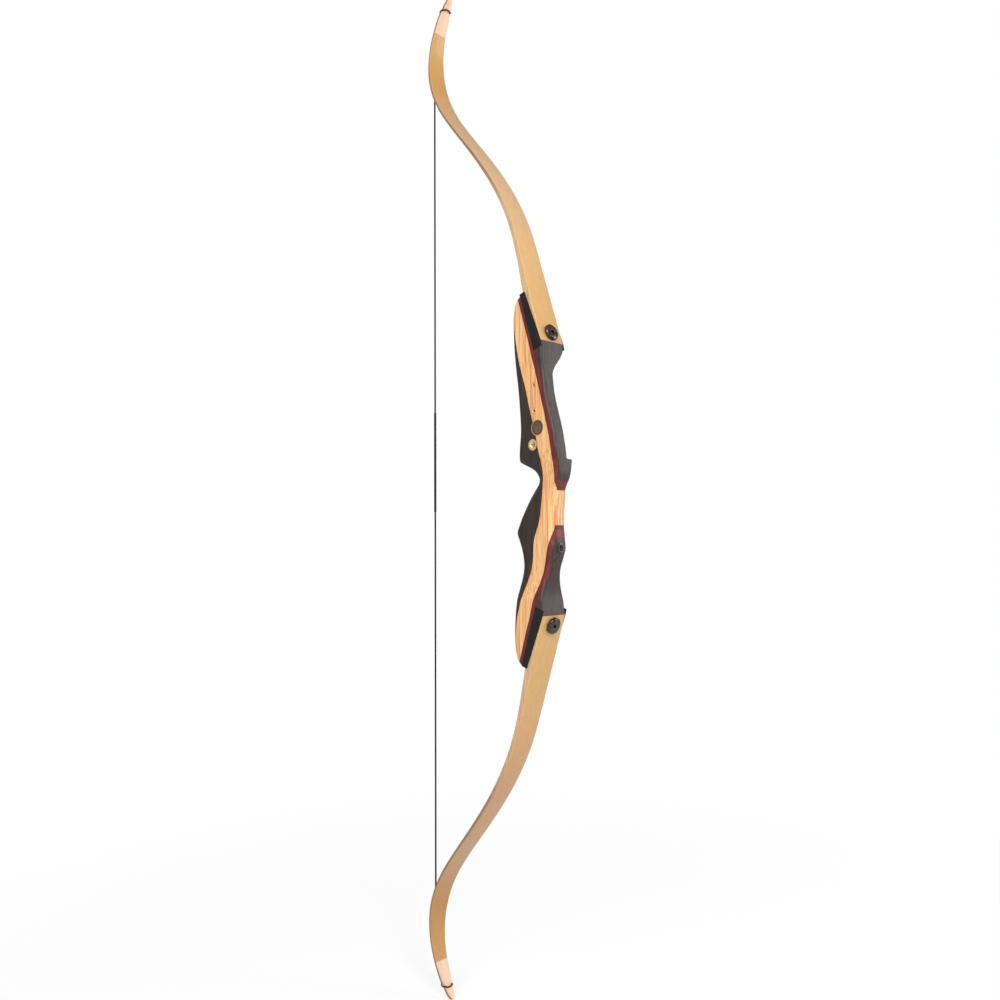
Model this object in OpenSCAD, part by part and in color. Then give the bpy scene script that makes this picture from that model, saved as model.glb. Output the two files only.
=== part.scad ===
// Take-down recurve bow, right-handed, strung at brace height.
// Millimetres. +X points at the target, +Z up, +Y to the archer's left.
// The origin is the deepest point of the grip's throat, on the centre plane.

/* [Limbs] */
// Length of a limb along its back face, butt to tip
limb_len = 616; // [580:2:650]
// Lean of the limb pads from the vertical, in degrees
pad_lean = 17.5; // [16:0.5:19]
// Width of a limb at its butt
limb_butt_w = 42.5; // [39:0.5:45]
// Width of a limb through its middle
limb_mid_w = 35.8; // [32:0.2:40]
// Width of a limb where it starts to narrow into the recurve
limb_curve_w = 34.6; // [29:0.2:37]
// Width of a limb's tip at the string nocks
limb_tip_w = 13.2; // [12:0.2:16]
// Thickness of a limb at its butt, wedge included
limb_butt_t = 11.2; // [10:0.1:12]
// Thickness of a limb where the wedge has faded out
limb_fade_t = 6.2; // [5:0.1:7]
// Thickness of a limb in the recurve
limb_tip_t = 3.6; // [3:0.1:4.5]
// Thickness of each glass facing
glass_t = 1; // [0.6:0.1:1.2]
// Thickness of the butt wedge at its thick end
wedge_t = 4.4; // [3:0.1:5]
// Length of the butt wedge
wedge_len = 205; // [150:5:240]
// Length of the tip overlay
overlay_len = 54; // [40:1:75]
// Thickness of the tip overlay at the tip
overlay_t = 2.4; // [1.6:0.1:3.5]
// Distance of the string nocks from the tip
nock_back = 19; // [18:0.5:22]
// Radius of the string groove in each edge
nock_r = 1.8; // [1.8:0.1:2.2]

/* [Riser] */
// Length of the riser, end to end
riser_len = 486; // [470:2:510]
// Height of the limbs' mirror plane above the throat
mid_z = 2.5; // [0:0.5:6]
// Length of a limb pad, from the limb butt to the riser's end
pad_len = 67; // [60:1:72]
// Reach of the limb's back at the butt, in front of the throat
butt_x = 17.4; // [15:0.2:20]
// Width of the grip
grip_w = 30; // [26:0.5:34]
// Width of the lower waist, under the stabilizer bushing
waist_w = 25.6; // [22:0.4:29]
// Distance of the riser's right side from the centre plane, beside the window
window_side = 20; // [18.5:0.5:22]
// Distance that the sight window is cut past the centre plane
past_centre = 0; // [-1:0.5:3]
// Height of the arrow shelf above the throat
shelf_z = 25.4; // [23:0.2:30]
// Distance of the arrow shelf's left edge from the centre plane
shelf_w = 11; // [8:0.5:14]
// Height of the top of the sight window's straight wall
window_top = 134.5; // [130:0.5:138]
// Thickness of the dark veneers, along the arrow
dark_t = 1.8; // [1.2:0.1:2.4]
// Thickness of the red veneers, along the arrow
red_t = 5.2; // [4.6:0.1:6]

/* [Limb pockets] */
// Thickness of a pocket's floor, under the limb
floor_t = 3.8; // [3:0.1:4.2]
// Thickness of a pocket's side walls
wall_t = 1.5; // [1:0.1:2]
// Height of a side wall above the floor, at the outer end
wall_low = 4.5; // [3:0.1:6]
// Length of the side walls past the limb butt, let into the riser
tab_len = 7; // [5:0.5:10]
// Reach of a pocket past its pad, beyond the riser's end
pocket_over = 6; // [2:0.5:9]

/* [Limb bolts] */
// Distance of the bolt from the limb butt
bolt_s = 13; // [12.5:0.5:16]
// Radius of the bolt's shank, five sixteenths of an inch across
bolt_r = 3.95; // [3.5:0.05:4]
// Radius of the bolt's head
head_r = 11; // [10:0.2:12]
// Thickness of the bolt's head
head_t = 4.6; // [4:0.1:6]
// Length of the shank below the head
shank_len = 34; // [30:1:36]
// Distance across the flats of the hex socket
hex_af = 5; // [4:0.5:6]
// Radius of the washer under the head
washer_r = 9.5; // [8:0.1:9.8]
// Thickness of the washer
washer_t = 1; // [0.8:0.1:1.5]
// Outer radius of the threaded insert
insert_r = 6.5; // [5.5:0.1:7]
// Length of the threaded insert
insert_len = 16; // [12:1:18]
// Radius of a locating pin
pin_r = 2.5; // [2:0.1:3]
// Length of a locating pin
pin_len = 16; // [14:1:20]
// Distance of the locating pins from the limb butt
pin_s = 42; // [38:1:50]
// Distance of each locating pin from the centre plane
pin_y = 11; // [9:0.5:14]

/* [Riser hardware] */
// Distance between the two sight bushings, one and five sixteenths of an inch
sight_span = 33.34; // [30:0.1:36]
// Height of the middle of the sight bushings
sight_z = 105.6; // [100:0.1:110]
// Place of the sight bushings along the arrow
sight_x = 2.3; // [1:0.1:5]
// Outer radius of a sight bushing
sight_r = 4; // [3.4:0.1:5]
// Radius of a sight bushing's threaded hole
sight_hole_r = 2.1; // [1.8:0.1:2.4]
// Length of a sight bushing
sight_len = 12.5; // [10:0.5:15]
// Height of the plunger bushing
plunger_z = 45; // [42:0.5:47]
// Outer radius of the plunger bushing's flange
plunger_r = 7.5; // [6.5:0.1:8.5]
// Outer radius of the plunger bushing's barrel
plunger_barrel_r = 5.5; // [4.8:0.1:6]
// Radius of the threaded holes for a plunger and for a stabilizer
thread_r = 3.45; // [3.2:0.05:3.6]
// Height of the stabilizer bushing, below the throat
stab_z = -87.6; // [-92:0.2:-84]
// Outer radius of the stabilizer bushing's flange
stab_r = 7; // [6.2:0.1:8]
// Outer radius of the stabilizer bushing's barrel
stab_barrel_r = 5.6; // [4.8:0.1:6]
// Length of the stabilizer bushing
stab_len = 24; // [18:1:28]
// Height of the round inlay
inlay_z = 66.4; // [64:0.2:70]
// Place of the round inlay along the arrow
inlay_x = 8.5; // [7:0.5:10]
// Radius of the round inlay
inlay_r = 10.6; // [9:0.1:11.5]
// Thickness of the round inlay
inlay_t = 2.4; // [1.6:0.1:4]

/* [Bowstring] */
// Radius of the string
string_r = 1.25; // [1:0.05:1.4]
// Radius of the centre serving
serving_r = 1.75; // [1.6:0.05:2.2]
// Radius of the served end loops
loop_r = 1.4; // [1.3:0.05:1.5]
// Height of the nocking point above the throat
nocking_z = 35; // [30:1:40]
// Height of the serving's upper end
serving_top = 111; // [90:1:125]
// Height of the serving's lower end
serving_low = -35; // [-50:1:-20]
// Length of an end loop's legs below the nocks
leg_len = 55; // [45:1:70]

/* [Hidden] */

round_fn = 64;
// Clearances: a loose seat, a running shaft, and a bolt through its hole
seat_gap = 0.15;
run_gap = 0.05;
// The limb lies this far above its pocket's floor
pad_gap = 0.1;
bolt_gap = 0.3;
// Longer than any piece is wide or deep
far = 80;

// A smooth value at z, through rows [z, value] in rising order of z
function slope(rows, i) =
    let (a = max(i - 1, 0), b = min(i + 1, len(rows) - 1))
    (rows[b][1] - rows[a][1]) / (rows[b][0] - rows[a][0]);
function gap_of(rows, z, i = 0) =
    i >= len(rows) - 2 || z < rows[i + 1][0] ? i : gap_of(rows, z, i + 1);
function smooth(rows, z) =
    let (i = gap_of(rows, z), h = rows[i + 1][0] - rows[i][0], u = (z - rows[i][0]) / h)
    (1 + 2 * u) * (1 - u) * (1 - u) * rows[i][1] + u * (1 - u) * (1 - u) * h * slope(rows, i)
    + u * u * (3 - 2 * u) * rows[i + 1][1] - u * u * (1 - u) * h * slope(rows, i + 1);

// The limb: its lean from the vertical at even steps from butt to tip, in degrees
limb_lean = [pad_lean, pad_lean, pad_lean - 0.5, 18.8, 27.2, 33.9, 38.3, 40, 37.2, 24.5, 2.6, -19.5, -33.5];
limb_steps = 56;
limb_step = limb_len / limb_steps;
function lean(s) =
    smooth([for (i = [0 : len(limb_lean) - 1]) [i / (len(limb_lean) - 1), limb_lean[i]]], s / limb_len);
butt_z = riser_len / 2 - pad_len;
// Points on the limb's back face, as [x, height above the mirror plane]
limb_back = [
    for (i = 0, p = [butt_x, butt_z]; i <= limb_steps;
        p = p + limb_step * [-sin(lean((i + 0.5) * limb_step)), cos(lean((i + 0.5) * limb_step))],
        i = i + 1) p
];
function thick(s) = smooth([
    [0, limb_butt_t], [0.08, limb_butt_t], [0.12, limb_butt_t - 0.4],
    [0.21, (limb_butt_t + limb_fade_t) / 2 - 1],
    [0.33, limb_fade_t], [0.5, (limb_fade_t + limb_tip_t) / 2 - 0.2], [0.7, limb_tip_t],
    [1, limb_tip_t]
], s / limb_len);
function wedge(s) = s >= wedge_len ? 0 : wedge_t * (1 - pow(s / wedge_len, 1.6));
function limb_w(s) = smooth([
    [0, limb_butt_w], [0.1, limb_butt_w - 1], [0.22, limb_mid_w + 2], [0.35, limb_mid_w + 0.2],
    [0.5, limb_mid_w], [0.6, limb_mid_w], [0.7, limb_curve_w + 0.4], [0.78, limb_curve_w - 2.2],
    [0.85, limb_curve_w - 7.4], [0.95, limb_tip_w + 5.2], [0.958, limb_tip_w + 3.4], [0.97, limb_tip_w],
    [0.98, limb_tip_w - 1.8], [0.987, limb_tip_w - 3.8], [0.9935, limb_tip_w - 6.8], [1, 2]
], s / limb_len);
function overlay(s) =
    s <= limb_len - overlay_len ? 0 : overlay_t * pow((s - limb_len + overlay_len) / overlay_len, 0.7);
// A point at distance s along the limb and depth d under its back face
function limb_at(s, d) =
    let (u = s / limb_step, i = min(floor(u), limb_steps - 1), f = u - i, a = lean(s))
    limb_back[i] * (1 - f) + limb_back[i + 1] * f - d * [cos(a), sin(a)];
limb_s = [for (i = [0 : limb_steps]) i * limb_step];
// The tip's outline is rounder, and takes closer steps
tip_step = limb_step / 4;
outline_s = concat([for (s = limb_s) if (s < limb_len - 3.5 * limb_step) s],
    [for (k = [12 : -1 : 0]) limb_len - k * tip_step]);

module upper() { translate([0, 0, mid_z]) children(); }
module lower() { translate([0, 0, mid_z]) mirror([0, 0, 1]) children(); }
// Local frame of a limb pad: +Z runs along the limb from its butt, +X out of its back face
module at_butt() { translate([butt_x, 0, butt_z]) rotate([0, -pad_lean, 0]) children(); }
// A side view, drawn in X and Z, spread across the bow
module across(w) { rotate([90, 0, 0]) linear_extrude(w, center = true) children(); }

// Limb laminations
module limb_outline() {
    rotate([90, 0, 90]) translate([0, 0, -4 * far]) linear_extrude(6 * far)
        polygon(concat(
            [for (s = outline_s) [limb_w(s) / 2, limb_at(s, 0)[1]]],
            [for (s = flipped(outline_s)) [-limb_w(s) / 2, limb_at(s, 0)[1]]]));
}
// The bolt's hole, the blind pin holes and the string grooves
module limb_holes() {
    at_butt() translate([-2 * limb_butt_t, 0, bolt_s]) rotate([0, 90, 0])
        cylinder(h = 3 * limb_butt_t, r = bolt_r + bolt_gap, $fn = round_fn);
    at_butt() for (y = [-pin_y, pin_y])
        translate([floor_x - 1, y, pin_s]) rotate([0, 90, 0])
            cylinder(h = pin_up + 1 + seat_gap, r = pin_r + run_gap, $fn = round_fn);
    for (y = [-nock_y, nock_y])
        translate([limb_at(nock_s, 0)[0], y, limb_at(nock_s, 0)[1]])
            rotate([0, 90 - lean(nock_s) + groove_tilt, 0])
                cylinder(h = 8 * nock_r, r = nock_r, center = true, $fn = round_fn);
}
// Height of a locating pin above the pocket's floor
pin_up = 6;
// A pocket's floor and the wood under it, along the pad's local X
floor_x = -limb_butt_t - pad_gap;
wood_x = floor_x - floor_t;
nock_s = limb_len - nock_back;
nock_y = limb_w(nock_s) / 2 + 0.3;
groove_tilt = -22;
// One lamination, from depth a to depth b, each a list over the limb's steps
module lamination(a, b, last = limb_steps) {
    difference() {
        intersection() {
            across(far)
                polygon(concat([for (i = [0 : last]) limb_at(limb_s[i], a[i])],
                    [for (i = [last : -1 : 0]) limb_at(limb_s[i], b[i])]));
            limb_outline();
        }
        limb_holes();
    }
}
zero = [for (s = limb_s) 0];
under_glass = [for (s = limb_s) glass_t];
under_core = [for (s = limb_s) thick(s) - glass_t - wedge(s)];
over_belly = [for (s = limb_s) thick(s) - glass_t];
belly = [for (s = limb_s) thick(s)];
wedge_last = ceil(wedge_len / limb_step);
overlay_first = floor((limb_len - overlay_len) / limb_step);

module limb_core() { color("#d9b27a") lamination(under_glass, under_core); }
module back_glass() { color("#e6b978") lamination(zero, under_glass); }
module belly_glass() { color("#d8b078") lamination(over_belly, belly); }
module limb_wedge() { color("#c89a62") lamination(under_core, over_belly, wedge_last); }
module tip_overlay() {
    color("#f0d2b4") difference() {
        intersection() {
            across(far) polygon(concat(
                [for (i = [overlay_first : limb_steps]) limb_at(limb_s[i], 0)],
                [for (i = [limb_steps : -1 : overlay_first + 1]) limb_at(limb_s[i], -overlay(limb_s[i]))]));
            limb_outline();
        }
        limb_holes();
    }
}

// Limb pockets
pocket_w = limb_butt_w + 2 * (seat_gap + wall_t);
pocket_len = pad_len + pocket_over;
// The front edge of a side wall, at the limb's butt and at the end of the tab, beside the limb's back
wall_x = -0.3;
tab_x = -1;
module limb_pocket() {
    color("#24272b") at_butt() difference() {
        union() {
            translate([wood_x, -pocket_w / 2, 0]) cube([floor_t, pocket_w, pocket_len]);
            for (m = [0, 1]) mirror([0, m, 0])
                translate([0, pocket_w / 2, 0]) rotate([90, 0, 0]) linear_extrude(wall_t)
                    polygon([
                        [wood_x, -tab_len], [tab_x, -tab_len], [wall_x, 0],
                        [floor_x + wall_low, pocket_len], [wood_x, pocket_len]
                    ]);
        }
        translate([-3 * limb_butt_t, 0, bolt_s]) rotate([0, 90, 0])
            cylinder(h = 4 * limb_butt_t, r = bolt_r + bolt_gap, $fn = round_fn);
        for (y = [-pin_y, pin_y])
            translate([-3 * limb_butt_t, y, pin_s]) rotate([0, 90, 0])
                cylinder(h = 3 * limb_butt_t, r = pin_r, $fn = round_fn);
    }
}

// Limb bolts and what they screw into
// The head's bevel, the notches in its rim and its hex socket
bevel_t = 1.2;
bevel_in = 1.6;
notches = 8;
notch_r = 2;
notch_out = 0.9;
hex_deep = 3;
module limb_bolt() {
    color("#4a4a50") at_butt() translate([washer_t, 0, bolt_s]) rotate([0, 90, 0]) difference() {
        union() {
            cylinder(h = head_t - bevel_t, r = head_r, $fn = round_fn);
            translate([0, 0, head_t - bevel_t])
                cylinder(h = bevel_t, r1 = head_r, r2 = head_r - bevel_in, $fn = round_fn);
            translate([0, 0, -shank_len]) cylinder(h = shank_len + 1, r = bolt_r, $fn = round_fn);
        }
        for (i = [0 : notches - 1]) rotate(360 * (i + 0.5) / notches) translate([head_r + notch_out, 0, -1])
            cylinder(h = head_t + 2, r = notch_r, $fn = 24);
        translate([0, 0, head_t - hex_deep]) cylinder(h = hex_deep + 1, r = hex_af / sqrt(3), $fn = 6);
    }
}
module bolt_washer() {
    color("#6a6a70") at_butt() translate([0, 0, bolt_s]) rotate([0, 90, 0]) difference() {
        cylinder(h = washer_t, r = washer_r, $fn = round_fn);
        translate([0, 0, -1]) cylinder(h = washer_t + 2, r = bolt_r + bolt_gap, $fn = round_fn);
    }
}
module bolt_insert() {
    color("#b08d4a") at_butt() translate([wood_x - insert_len, 0, bolt_s]) rotate([0, 90, 0])
        difference() {
            cylinder(h = insert_len, r = insert_r, $fn = round_fn);
            translate([0, 0, -1]) cylinder(h = insert_len + 2, r = bolt_r + run_gap, $fn = round_fn);
        }
}
pin_low = floor_x + pin_up - pin_len;
module locating_pins() {
    color("#b8bcc0") at_butt() for (y = [-pin_y, pin_y])
        translate([pin_low, y, pin_s]) rotate([0, 90, 0]) cylinder(h = pin_len, r = pin_r, $fn = 32);
}

// The riser's outline is drawn for pads that end 243 from the throat. Another length moves the pads
// and what is by them, leaves the grip as it is, and stretches what lies between.
grip_end = 60;
pad_start = 150;
function moved(z) =
    let (drawn_half = 243, share = max(0, min(1, (abs(z) - grip_end) / (pad_start - grip_end))))
    z + sign(z) * (riser_len / 2 - drawn_half) * share;
function at_len(rows) = [for (r = rows) [moved(r[0]), r[1]]];
// Rows [z, value]
belly_line = at_len([
    [-238, -21], [-235, -25], [-229, -29.5], [-220, -33], [-207, -35.2], [-190, -35.6],
    [-168, -34], [-150, -31], [-134, -28.8], [-121, -27], [-110, -26], [-100, -26.8],
    [-88, -29.6], [-77, -34], [-70, -37.2], [-66, -37.6], [-60, -35], [-50, -30.6], [-38, -24],
    [-25, -16], [-12, -6.4], [-6, -1.8], [0, 0], [6, -1], [12, -4.4], [17, -12], [21, -20],
    [24, -25.2], [28, -26.2], [40, -24.6], [54, -23.4], [67, -22.8], [93, -24.4], [120, -27],
    [147, -30.8], [174, -34.4], [201, -35.4], [215, -34.4], [226, -31.6], [234, -28],
    [238, -24.5], [241, -20]
]);
front_line = at_len([
    [-241, 19], [-176, 17.6], [-168, 17], [-160, 16], [-150, 15], [-140, 15.6], [-129, 17.8],
    [-112, 22.8], [-98, 27.8], [-88, 30.2], [-76, 29], [-62, 27.8], [-40, 28.4], [-22, 30.8],
    [-12, 32], [-6, 34], [-1, 36.8], [5, 38.6], [12, 39.8], [22, 40.6], [27, 40.8], [35, 40.4],
    [48, 38.6], [61, 36.4], [74, 33], [87, 29.2], [100, 25.6], [113, 22.6], [126, 20.8],
    [139, 19.2], [152, 18], [165, 17.6], [176, 18], [241, 19]
]);
// A pad is narrower than its pocket, by this much on the right and by more on the left
pad_inset = 1.1;
pad_side = pocket_w / 2 - pad_inset;
left_side = pad_side - 0.6;
right_line = at_len([
    [-241, pad_side], [-156, pad_side], [-146, pad_side - 2], [-130, waist_w / 2 + 2.2],
    [-116, waist_w / 2], [-100, waist_w / 2 + 0.5], [-80, grip_w / 2 - 0.5], [-55, grip_w / 2],
    [-20, grip_w / 2], [0, grip_w / 2 - 0.4], [12, grip_w / 2 + 0.6], [26, window_side - 2],
    [40, window_side], [60, window_side], [126, window_side], [145, window_side + 0.6],
    [160, pad_side], [241, pad_side]
]);
left_line = at_len([
    [-241, left_side], [-156, left_side], [-146, left_side - 1.8], [-130, waist_w / 2 + 2.2],
    [-116, waist_w / 2], [-100, waist_w / 2 + 0.5], [-80, grip_w / 2 - 0.5], [-55, grip_w / 2],
    [-25, grip_w / 2 - 0.5], [-12, shelf_w + 2.4], [0, shelf_w + 0.8], [12, shelf_w], [26, shelf_w],
    [40, shelf_w + 4], [80, window_side], [130, left_side], [241, left_side]
]);
belly_round = at_len([
    [-241, 1.5], [-225, 5], [-190, 8.5], [-150, 8], [-116, 6], [-90, 7], [-60, 10], [-20, 13],
    [0, 13], [12, 8], [22, 4], [60, 4.5], [140, 5], [165, 8.5], [200, 8.5], [225, 5], [241, 1.5]
]);
front_round = at_len([
    [-241, 2], [-160, 2], [-140, 4], [-116, 8], [-90, 9], [-60, 10], [-14, 10], [-4, 7],
    [8, 3.6], [24, 1.5], [60, 3.2], [140, 3.2], [160, 2], [241, 2]
]);
corner_steps = 3;
function corner(x, y, r, a0) =
    [for (i = [0 : corner_steps]) let (a = a0 + 90 * i / corner_steps) [x + r * cos(a), y + r * sin(a)]];
function riser_ring(z) =
    let (b = smooth(belly_line, z), f = smooth(front_line, z), n = -smooth(right_line, z),
        w = smooth(left_line, z), rb = min(smooth(belly_round, z), (w - n) / 2 - 0.2),
        rf = min(smooth(front_round, z), (w - n) / 2 - 0.2))
    [for (p = concat(corner(b + rb, n + rb, rb, 180), corner(f - rf, n + rf, rf, 270),
        corner(f - rf, w - rf, rf, 0), corner(b + rb, w - rb, rb, 90))) [p[0], p[1], z]];
// Rings at every row of the belly line, and halfway between
riser_z = [for (i = [0 : len(belly_line) - 2]) for (k = [0, 0.5])
    belly_line[i][0] * (1 - k) + belly_line[i + 1][0] * k, belly_line[len(belly_line) - 1][0]];
// A closed skin over rings of points, all of one count
module skin(rings) {
    n = len(rings[0]);
    last = len(rings) - 1;
    polyhedron(
        points = [for (r = rings) for (p = r) p],
        faces = concat(
            [for (k = [0 : last - 1]) for (i = [0 : n - 1])
                let (a = k * n + i, b = k * n + (i + 1) % n) each [[a, a + n, b], [b, a + n, b + n]]],
            [[for (i = [0 : n - 1]) i]],
            [[for (i = [n - 1 : -1 : 0]) last * n + i]]),
        convexity = 10);
}
// The riser's body between two heights, cut short for the pieces that need only a part of it
module riser_body(low, high) { skin([for (z = riser_z) if (z > low && z < high) riser_ring(z)]); }

// Lamination lines of the riser, seen from the side, as rows [z, x]
belly_joint = at_len([
    [-214, -38], [-207, -33.4], [-200, -31], [-181, -28], [-154, -20.4], [-141, -16.6],
    [-128, -13.6], [-116, -10.2], [-103, -7], [-90, -5.4], [-77, -3.4], [-64, 2], [-52, 6.5],
    [-39, 9], [-20, 11.5], [-1, 12.8], [12, 13], [25, 11.6], [38, 9.5], [64, 4], [91, -4.5],
    [118, -11.4], [145, -19.4], [172, -25], [200, -30.6], [207, -33.4], [214, -38]
]);
upper_joint = at_len([
    [-14.4, 31], [-6, 31.6], [4, 32.2], [14, 32.2], [24, 31.8], [33, 31.2], [45, 29.8],
    [58, 27.2], [75, 22.8], [101, 15.8], [128, 8.6], [155, 1.8], [176, -3.7], [183, -5.7],
    [210, -14.2], [239, -23.2], [252, -27.2]
]);
lower_joint = at_len([
    [-252, -29.6], [-232, -23.2], [-219, -19.2], [-206, -15], [-192, -10.6], [-179, -6.3],
    [-167, -2.9], [-154, 0.6], [-141, 4.6], [-128, 8.4], [-115, 12.2], [-102, 15], [-90, 18.2],
    [-77, 23.2], [-66, 26.4], [-58.5, 27.2]
]);
function sampled(rows, n = 2) = [for (i = [0 : len(rows) - 2]) for (k = [0 : n - 1])
    let (z = rows[i][0] + (rows[i + 1][0] - rows[i][0]) * k / n) [smooth(rows, z), z],
    [rows[len(rows) - 1][1], rows[len(rows) - 1][0]]];
function flipped(pts) = [for (i = [len(pts) - 1 : -1 : 0]) pts[i]];
// The veneers cross the front of the grip one above the other, this far apart
dark_step = 5.2;
red_step = 7;
// From there they swell to their full thickness over this height
swell_len = 30;
function swell(d) = 0.3 + 0.7 * min(1, d / swell_len);
upper_front_z = upper_joint[0][0];
lower_front_z = lower_joint[len(lower_joint) - 1][0];
function upper_x(dx, z) = smooth(upper_joint, z) + dx * swell(z - upper_front_z);
function lower_x(dx, z) = smooth(lower_joint, z) + dx * swell(lower_front_z - z);
function upper_edge(dx, dz) =
    let (low = upper_front_z + dz)
    concat([[far, low], [upper_x(dx, low), low]],
        [for (p = sampled(upper_joint)) if (p[1] > low + 0.5) [upper_x(dx, p[1]), p[1]]]);
function lower_edge(dx, dz) =
    let (high = lower_front_z - dz)
    concat([[far, high], [lower_x(dx, high), high]],
        [for (p = flipped(sampled(lower_joint))) if (p[1] < high - 0.5) [lower_x(dx, p[1]), p[1]]]);
top_z = riser_len / 2 + far;

module belly_zone() {
    top = belly_joint[len(belly_joint) - 1][0];
    polygon(concat(sampled(belly_joint), [[-far, top], [-far, belly_joint[0][0]]]));
}
module core_zone() {
    difference() {
        polygon(concat(flipped(upper_edge(0, 0)), lower_edge(0, 0),
            [[-far, -top_z], [-far, top_z]]));
        belly_zone();
    }
}
module upper_zone(x0, z0, x1, z1) { polygon(concat(upper_edge(x0, z0), flipped(upper_edge(x1, z1)))); }
module lower_zone(x0, z0, x1, z1) { polygon(concat(lower_edge(x0, z0), flipped(lower_edge(x1, z1)))); }
module upper_front_zone() {
    polygon(concat(upper_edge(dark_t + red_t, dark_step + red_step), [[far, top_z - far]]));
}
module lower_front_zone() {
    polygon(concat(lower_edge(dark_t + red_t, dark_step + red_step), [[far, far - top_z]]));
}

// The sight window, seen from the front, cut along the arrow. Above its straight wall it sweeps out
// to the riser's side over a height of window_rise.
window_rise = 38;
window_corner = 3;
module sight_window() {
    y0 = -past_centre;
    rotate([90, 0, 90]) translate([0, 0, -far]) linear_extrude(2 * far)
        polygon(concat(
            [for (a = [270 : -30 : 180])
                [y0 + window_corner * (1 + cos(a)), shelf_z + window_corner * (1 + sin(a))]],
            [for (i = [0 : 10]) let (u = i / 10)
                [y0 + (pad_side - y0) * u * u * (3 - 2 * u), window_top + window_rise * u]],
            [[far, window_top + window_rise + 1], [far, shelf_z]]));
}
// Room for the limb, its pocket and the pocket's tabs
module pad_cut() {
    at_butt() {
        translate([wood_x, -far, -seat_gap]) cube([2 * far, 2 * far, 2 * far]);
        for (m = [0, 1]) mirror([0, m, 0])
            translate([wood_x, pocket_w / 2 - wall_t - seat_gap, -tab_len])
                cube([2 * far, far, 2 * far]);
        translate([wood_x - insert_len, 0, bolt_s]) rotate([0, 90, 0])
            cylinder(h = far, r = insert_r, $fn = round_fn);
        translate([washer_t - shank_len - 1.5, 0, bolt_s]) rotate([0, 90, 0])
            cylinder(h = far, r = bolt_r + bolt_gap, $fn = round_fn);
        for (y = [-pin_y, pin_y])
            translate([pin_low, y, pin_s]) rotate([0, 90, 0]) cylinder(h = far, r = pin_r, $fn = 32);
    }
}
// Thickness of the bushings' flanges, and how proud of the wood each piece stands
flange_t = 1.4;
plunger_proud = 0.4;
stab_proud = 0.6;
inlay_proud = 0.2;
stab_at = moved(stab_z);
stab_x = smooth(front_line, stab_at);
plunger_x = 0;
sight_zs = [sight_z - sight_span / 2, sight_z + sight_span / 2];
// Seats of the bushings and of the inlay; each is as deep as the piece that it takes
module hardware_seats() {
    for (z = sight_zs) translate([sight_x, -window_side - 1, z]) rotate([-90, 0, 0])
        cylinder(h = sight_len + 1, r = sight_r, $fn = round_fn);
    translate([plunger_x, -window_side - 1, plunger_z]) rotate([-90, 0, 0])
        cylinder(h = far, r = plunger_barrel_r, $fn = round_fn);
    translate([plunger_x, -window_side - 1, plunger_z]) rotate([-90, 0, 0])
        cylinder(h = 1 + flange_t, r = plunger_r, $fn = round_fn);
    translate([inlay_x, -window_side - 1, inlay_z]) rotate([-90, 0, 0])
        cylinder(h = 1 + inlay_t, r = inlay_r, $fn = round_fn);
    translate([stab_x - stab_len, 0, stab_at]) rotate([0, 90, 0])
        cylinder(h = 2 * stab_len, r = stab_barrel_r, $fn = round_fn);
    translate([stab_x - flange_t, 0, stab_at]) rotate([0, 90, 0])
        cylinder(h = stab_len, r = stab_r, $fn = round_fn);
}
// A piece of the riser: the part of its body inside a side view
module riser_piece(low = -riser_len, high = riser_len) {
    difference() {
        intersection() {
            riser_body(low, high);
            across(2 * far) children();
        }
        sight_window();
        upper() pad_cut();
        lower() pad_cut();
        hardware_seats();
    }
}
module upper_piece() { riser_piece(low = 2 * upper_front_z) children(); }
module lower_piece() { riser_piece(high = lower_front_z + 2 * dark_step) children(); }
module riser_belly_block() { color("#40383a") riser_piece() belly_zone(); }
module riser_core() { color("#f0be82") riser_piece() core_zone(); }
module riser_upper_dark_veneer() { color("#4a2a28") upper_piece() upper_zone(0, 0, dark_t, dark_step); }
module riser_upper_red_veneer() {
    color("#8e2c30") upper_piece() upper_zone(dark_t, dark_step, dark_t + red_t, dark_step + red_step);
}
module riser_upper_front_block() { color("#5f5856") upper_piece() upper_front_zone(); }
module riser_lower_dark_veneer() { color("#4a2a28") lower_piece() lower_zone(0, 0, dark_t, dark_step); }
module riser_lower_red_veneer() {
    color("#8e2c30") lower_piece() lower_zone(dark_t, dark_step, dark_t + red_t, dark_step + red_step);
}
module riser_lower_front_block() { color("#5f5856") lower_piece() lower_front_zone(); }

// Riser hardware
module sight_bushings() {
    color("#c9a24a") for (z = sight_zs) translate([sight_x, -window_side, z]) rotate([-90, 0, 0])
        difference() {
            cylinder(h = sight_len, r = sight_r, $fn = round_fn);
            translate([0, 0, -1]) cylinder(h = sight_len - 0.5, r = sight_hole_r, $fn = round_fn);
        }
}
module plunger_bushing() {
    color("#c9a24a") translate([plunger_x, -window_side, plunger_z]) rotate([-90, 0, 0]) difference() {
        union() {
            translate([0, 0, -plunger_proud])
                cylinder(h = flange_t + plunger_proud, r = plunger_r, $fn = round_fn);
            cylinder(h = window_side - past_centre, r = plunger_barrel_r, $fn = round_fn);
        }
        translate([0, 0, -2]) cylinder(h = far, r = thread_r, $fn = round_fn);
    }
}
module stabilizer_bushing() {
    color("#222426") translate([stab_x - stab_len, 0, stab_at]) rotate([0, 90, 0]) difference() {
        union() {
            cylinder(h = stab_len, r = stab_barrel_r, $fn = round_fn);
            translate([0, 0, stab_len - flange_t])
                cylinder(h = flange_t + stab_proud, r = stab_r, $fn = round_fn);
        }
        translate([0, 0, 3]) cylinder(h = far, r = thread_r, $fn = round_fn);
    }
}
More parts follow.
